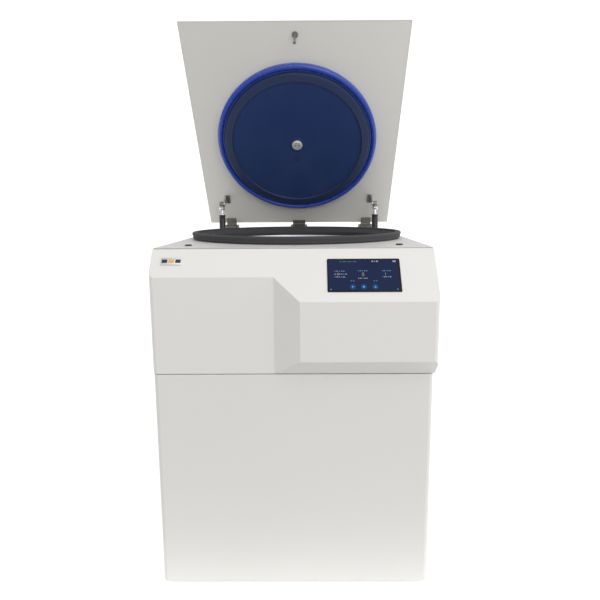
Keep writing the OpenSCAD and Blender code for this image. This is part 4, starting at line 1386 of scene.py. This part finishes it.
@dataclass(frozen=True)
class GasStrut:
    """One gas strut: eye, shank, nut and neck, black cylinder, and the rod that slides in it."""

    side: Side
    neck: float = 36 * MM
    tube_radius: float = 10.4 * MM
    tube_length: float = 170 * MM
    rod_radius: float = 4 * MM
    eye_radius: float = 8.5 * MM
    eye_width: float = 12 * MM

    def place(self) -> Place:
        """Finds where the strut hangs.

        Returns:
            The working frame at the stud, with Z down the strut.
        """
        joint = JOINTS[f"strut_tube_{self.side.word}_swing"]
        up = np.array(JOINTS[f"strut_rod_{self.side.word}_slide"]["axis"])
        up /= np.linalg.norm(up)
        across = np.array([1.0, 0.0, 0.0])
        return Place(tuple(joint["pos_m"]), tuple(across), tuple(np.cross(across, up)), tuple(-up))

    def build(self) -> None:
        """Builds the cylinder with a groove near each end, its fitting, and paints the rod."""
        strut = self.place()
        body = f"strut_tube_{self.side.word}"
        r, top, end = self.tube_radius, self.neck, self.neck + self.tube_length
        bore, round_by = self.rod_radius + 0.1 * MM, 2.5 * MM
        groove = np.array([[0.0, 0.0], [-0.7, 1.0], [-0.7, 2.0], [0.0, 3.0]]) * MM
        shell = loop(
            (bore, top + 2 * MM), (5 * MM, top), (r - round_by, top),
            arc((r - round_by, top + round_by), round_by, -90, 0, 6),
            groove + (r, top + 7 * MM), groove + (r, end - 10 * MM),
            arc((r - round_by, end - round_by), round_by, 0, 90, 6),
            (bore, end),
        )
        cylinder = lathe(f"strut_cylinder_{self.side.word}", shell, strut, 48, 40.0)
        fit_out(cylinder, body, "black_metal", stands_for=(body,))
        self.fitting(strut, body)
        repaint(f"strut_rod_{self.side.word}")

    def fitting(self, strut: Place, body: str) -> None:
        """Eye round the stud, its shank, a lock nut and a polished neck down to the cylinder.

        Args:
            strut: Working frame at the stud.
            body: The body that the strut's upper half is.
        """
        r, w = self.eye_radius, self.eye_width / 2
        bore, c = 4.3 * MM, 1.6 * MM
        ring = loop((bore, -w), (r - c, -w), arc((r - c, -w + c), c, -90, 0, 5),
                    arc((r - c, w - c), c, 0, 90, 5), (bore, w))
        across = Place(strut.origin, strut.y, strut.z, strut.x)
        eye = lathe(f"strut_eye_{self.side.word}", ring, across, 48, 40.0)
        fit_out(eye, body, "alloy", FINISHES["zinc"])
        shank = outline((0.0, 4.6 * MM), (7.0 * MM, 4.6 * MM), (7.0 * MM, 9.0 * MM),
                        arc((6.0 * MM, 10.4 * MM), 1.0 * MM, 0, 90, 3), (0.0, 11.4 * MM))
        stem = lathe(f"strut_shank_{self.side.word}", shank, strut, 40, 40.0)
        fit_out(stem, body, "alloy", FINISHES["zinc"])
        hexagon = [disc_outline(9.4 * MM, (0.0, 0.0), 6)]
        nut = plates(f"strut_nut_{self.side.word}", hexagon, 11.4 * MM, 19.5 * MM, strut, 0.9 * MM)
        fit_out(nut, body, "chrome")
        end = self.neck + 2.5 * MM
        turned = outline((0.0, 19.0 * MM), (5.2 * MM, 19.0 * MM), (5.2 * MM, 20.5 * MM),
                         (4.4 * MM, 21.2 * MM), (4.4 * MM, 31.0 * MM), (6.4 * MM, 32.5 * MM),
                         (6.4 * MM, end), (0.0, end))
        fit_out(lathe(f"strut_neck_{self.side.word}", turned, strut, 40, 40.0), body, "chrome")


@dataclass(frozen=True)
class SwingRotor:
    """Four-place swing-out rotor with its nut and buckets."""

    edge: float = 1.2 * MM

    def build(self) -> None:
        """Rounds the castings' edges and paints the shaft."""
        reskin("rotor_yoke", self.edge, 3)
        reskin("rotor_nut", 0.6 * MM, 2, 35.0)
        for index in range(1, 5):
            reskin(f"bucket_{index}", 0.9 * MM, 2, 35.0)
        repaint("drive_shaft")


@dataclass(frozen=True)
class Hinges:
    """Ears on the deck and their pins."""

    def build(self) -> None:
        """Rounds the ears and the pins' heads."""
        reskin("hinge_brackets", 0.8 * MM, 2, 35.0)
        reskin("hinge_pins", 0.5 * MM, 2, 35.0)


@dataclass(frozen=True)
class Machinery:
    """What stands inside the case: frames, cooling, drive, lock and electronics."""

    def build(self) -> None:
        """Paints the inner parts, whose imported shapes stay."""
        repaint(
            "base_frame", "upright_frame", "display_module", "evaporator_coil", "guard_ring",
            "chamber_insulation", "motor_housing", "shaft_bearings", "motor_plate", "vibration_mounts",
            "compressor", "condenser", "fan_shroud", "fan_motor", "condenser_fan", "refrigerant_pipes",
            "drive_electronics", "lock_housing", "lock_pawl", "strut_anchors", "lid_foam",
        )


# ---------------------------------------------------------------------------
# Studio
# ---------------------------------------------------------------------------


@dataclass(frozen=True)
class Studio:
    """Pale sweep, soft light and the camera.

    The floor is dull in front of the machine and glows from glow_start to glow_end, where it is
    the white that lies under and behind the machine.
    """

    eye: Vec = (0.0385, -1.4963, 0.8995)
    pitch: float = 8.822
    yaw: float = -0.2838
    roll: float = -0.2898
    lens: float = 31.0
    shift: Pair = (-0.0127, -0.0248)
    sky_mean: float = 0.73
    sky_lean: Vec = (0.48, -0.345, 0.14)
    key_at: Vec = (1.2, -2.4, 2.3)
    key_towards: Vec = (0.0, 0.0, 0.7)
    key_size: float = 1.8
    key_power: float = 12.0
    floor_front: float = -14.0
    floor_back: float = 2.8
    bend: float = 1.2
    wall_top: float = 6.0
    half_width: float = 20.0
    glow_start: float = -0.95
    glow_end: float = -0.46
    glow_curve: float = 5.0
    glow: float = 0.60
    near_shade: float = 0.46
    far_shades: Pair = (0.56, 0.60)

    def build(self) -> None:
        """Sets up floor, light, camera and colour."""
        self.sweep()
        self.sky()
        self.lamp()
        self.camera()
        bpy.context.scene.view_settings.view_transform = "Standard"

    def sweep(self) -> None:
        """Floor that bends up into a back wall: straight, then a quarter circle, then straight."""
        bend, back = self.bend, self.floor_back
        run = outline((self.floor_front, 0.0), (back, 0.0), arc((back, bend), bend, -90, 0, 24),
                      (back + bend, self.wall_top))
        x = np.linspace(-self.half_width, self.half_width, 9)
        points = np.stack([np.tile(x, (len(run), 1)), np.repeat(run[:, :1], len(x), 1),
                           np.repeat(run[:, 1:], len(x), 1)], axis=-1)
        piece = make_piece("studio_sweep", points, grid_faces(len(run), len(x)), 60.0)
        graph = Graph("studio_paper")
        depth = graph.add("SeparateXYZ", {0: graph.place()}).outputs[1]
        share = graph.span(depth, 0.0, 1.0, self.glow_start, self.glow_end)
        far = graph.maths("POWER", share, self.glow_curve)
        dark, light = ((shade,) * 3 for shade in self.far_shades)
        cloud = graph.blend(graph.noise(1.5, 2.0), dark, light)
        graph.wire("Base Color", graph.blend(far, (self.near_shade,) * 3, cloud))
        graph.wire("Roughness", 0.9)
        graph.wire("Emission Color", (1.0, 1.0, 1.0))
        graph.wire("Emission Strength", graph.maths("MULTIPLY", far, self.glow))
        piece.data.materials.append(graph.material)

    def sky(self) -> None:
        """White light whose strength is a mean plus the direction's product with a lean."""
        world = bpy.data.worlds.new("studio_sky")
        world.use_nodes = True
        tree = world.node_tree
        where = tree.nodes.new("ShaderNodeTexCoord")
        lean = tree.nodes.new("ShaderNodeVectorMath")
        lean.operation = "DOT_PRODUCT"
        total = tree.nodes.new("ShaderNodeMath")
        total.operation = "ADD"
        tree.links.new(where.outputs["Generated"], lean.inputs[0])
        lean.inputs[1].default_value = self.sky_lean
        tree.links.new(lean.outputs["Value"], total.inputs[0])
        total.inputs[1].default_value = self.sky_mean
        tree.links.new(total.outputs[0], tree.nodes["Background"].inputs["Strength"])
        tree.nodes["Background"].inputs["Color"].default_value = (1.0, 1.0, 1.0, 1.0)
        bpy.context.scene.world = world

    def lamp(self) -> None:
        """Adds one large square light that faces the machine."""
        data = bpy.data.lights.new("key_panel", "AREA")
        data.size = self.key_size
        data.energy = self.key_power
        lamp = bpy.data.objects.new("key_panel", data)
        lamp.location = self.key_at
        facing = Vector(self.key_towards) - Vector(self.key_at)
        lamp.rotation_euler = facing.to_track_quat("-Z", "Y").to_euler()
        bpy.context.scene.collection.objects.link(lamp)

    def camera(self) -> None:
        """Stands the camera before the machine, turned by yaw, then pitch, then roll."""
        yaw, pitch, roll = (math.radians(a) for a in (self.yaw, self.pitch, self.roll))
        level = Vector((math.sin(yaw), math.cos(yaw), 0.0))
        right = Vector((math.cos(yaw), -math.sin(yaw), 0.0))
        up = Vector((0.0, 0.0, 1.0))
        forward = level * math.cos(pitch) - up * math.sin(pitch)
        above = level * math.sin(pitch) + up * math.cos(pitch)
        side = right * math.cos(roll) + above * math.sin(roll)
        top = above * math.cos(roll) - right * math.sin(roll)
        data = bpy.data.cameras.new("studio_camera")
        data.lens = self.lens
        data.sensor_width = 36.0
        data.shift_x, data.shift_y = self.shift
        data.clip_start = 0.05
        camera = bpy.data.objects.new("studio_camera", data)
        turn = Matrix((side, top, -forward)).transposed().to_4x4()
        camera.matrix_world = Matrix.Translation(Vector(self.eye)) @ turn
        bpy.context.scene.collection.objects.link(camera)
        bpy.context.scene.camera = camera


def main() -> None:
    """Builds every sub-assembly in order, then the studio."""
    logging.basicConfig(level=logging.INFO, format="%(name)s: %(message)s")
    Machinery().build()
    Cabinet().build()
    ControlPanel().build()
    Chamber().build()
    SwingRotor().build()
    Hinges().build()
    LidAssembly().build()
    for side in Side:
        GasStrut(side).build()
    Studio().build()


if __name__ == "__main__":
    main()
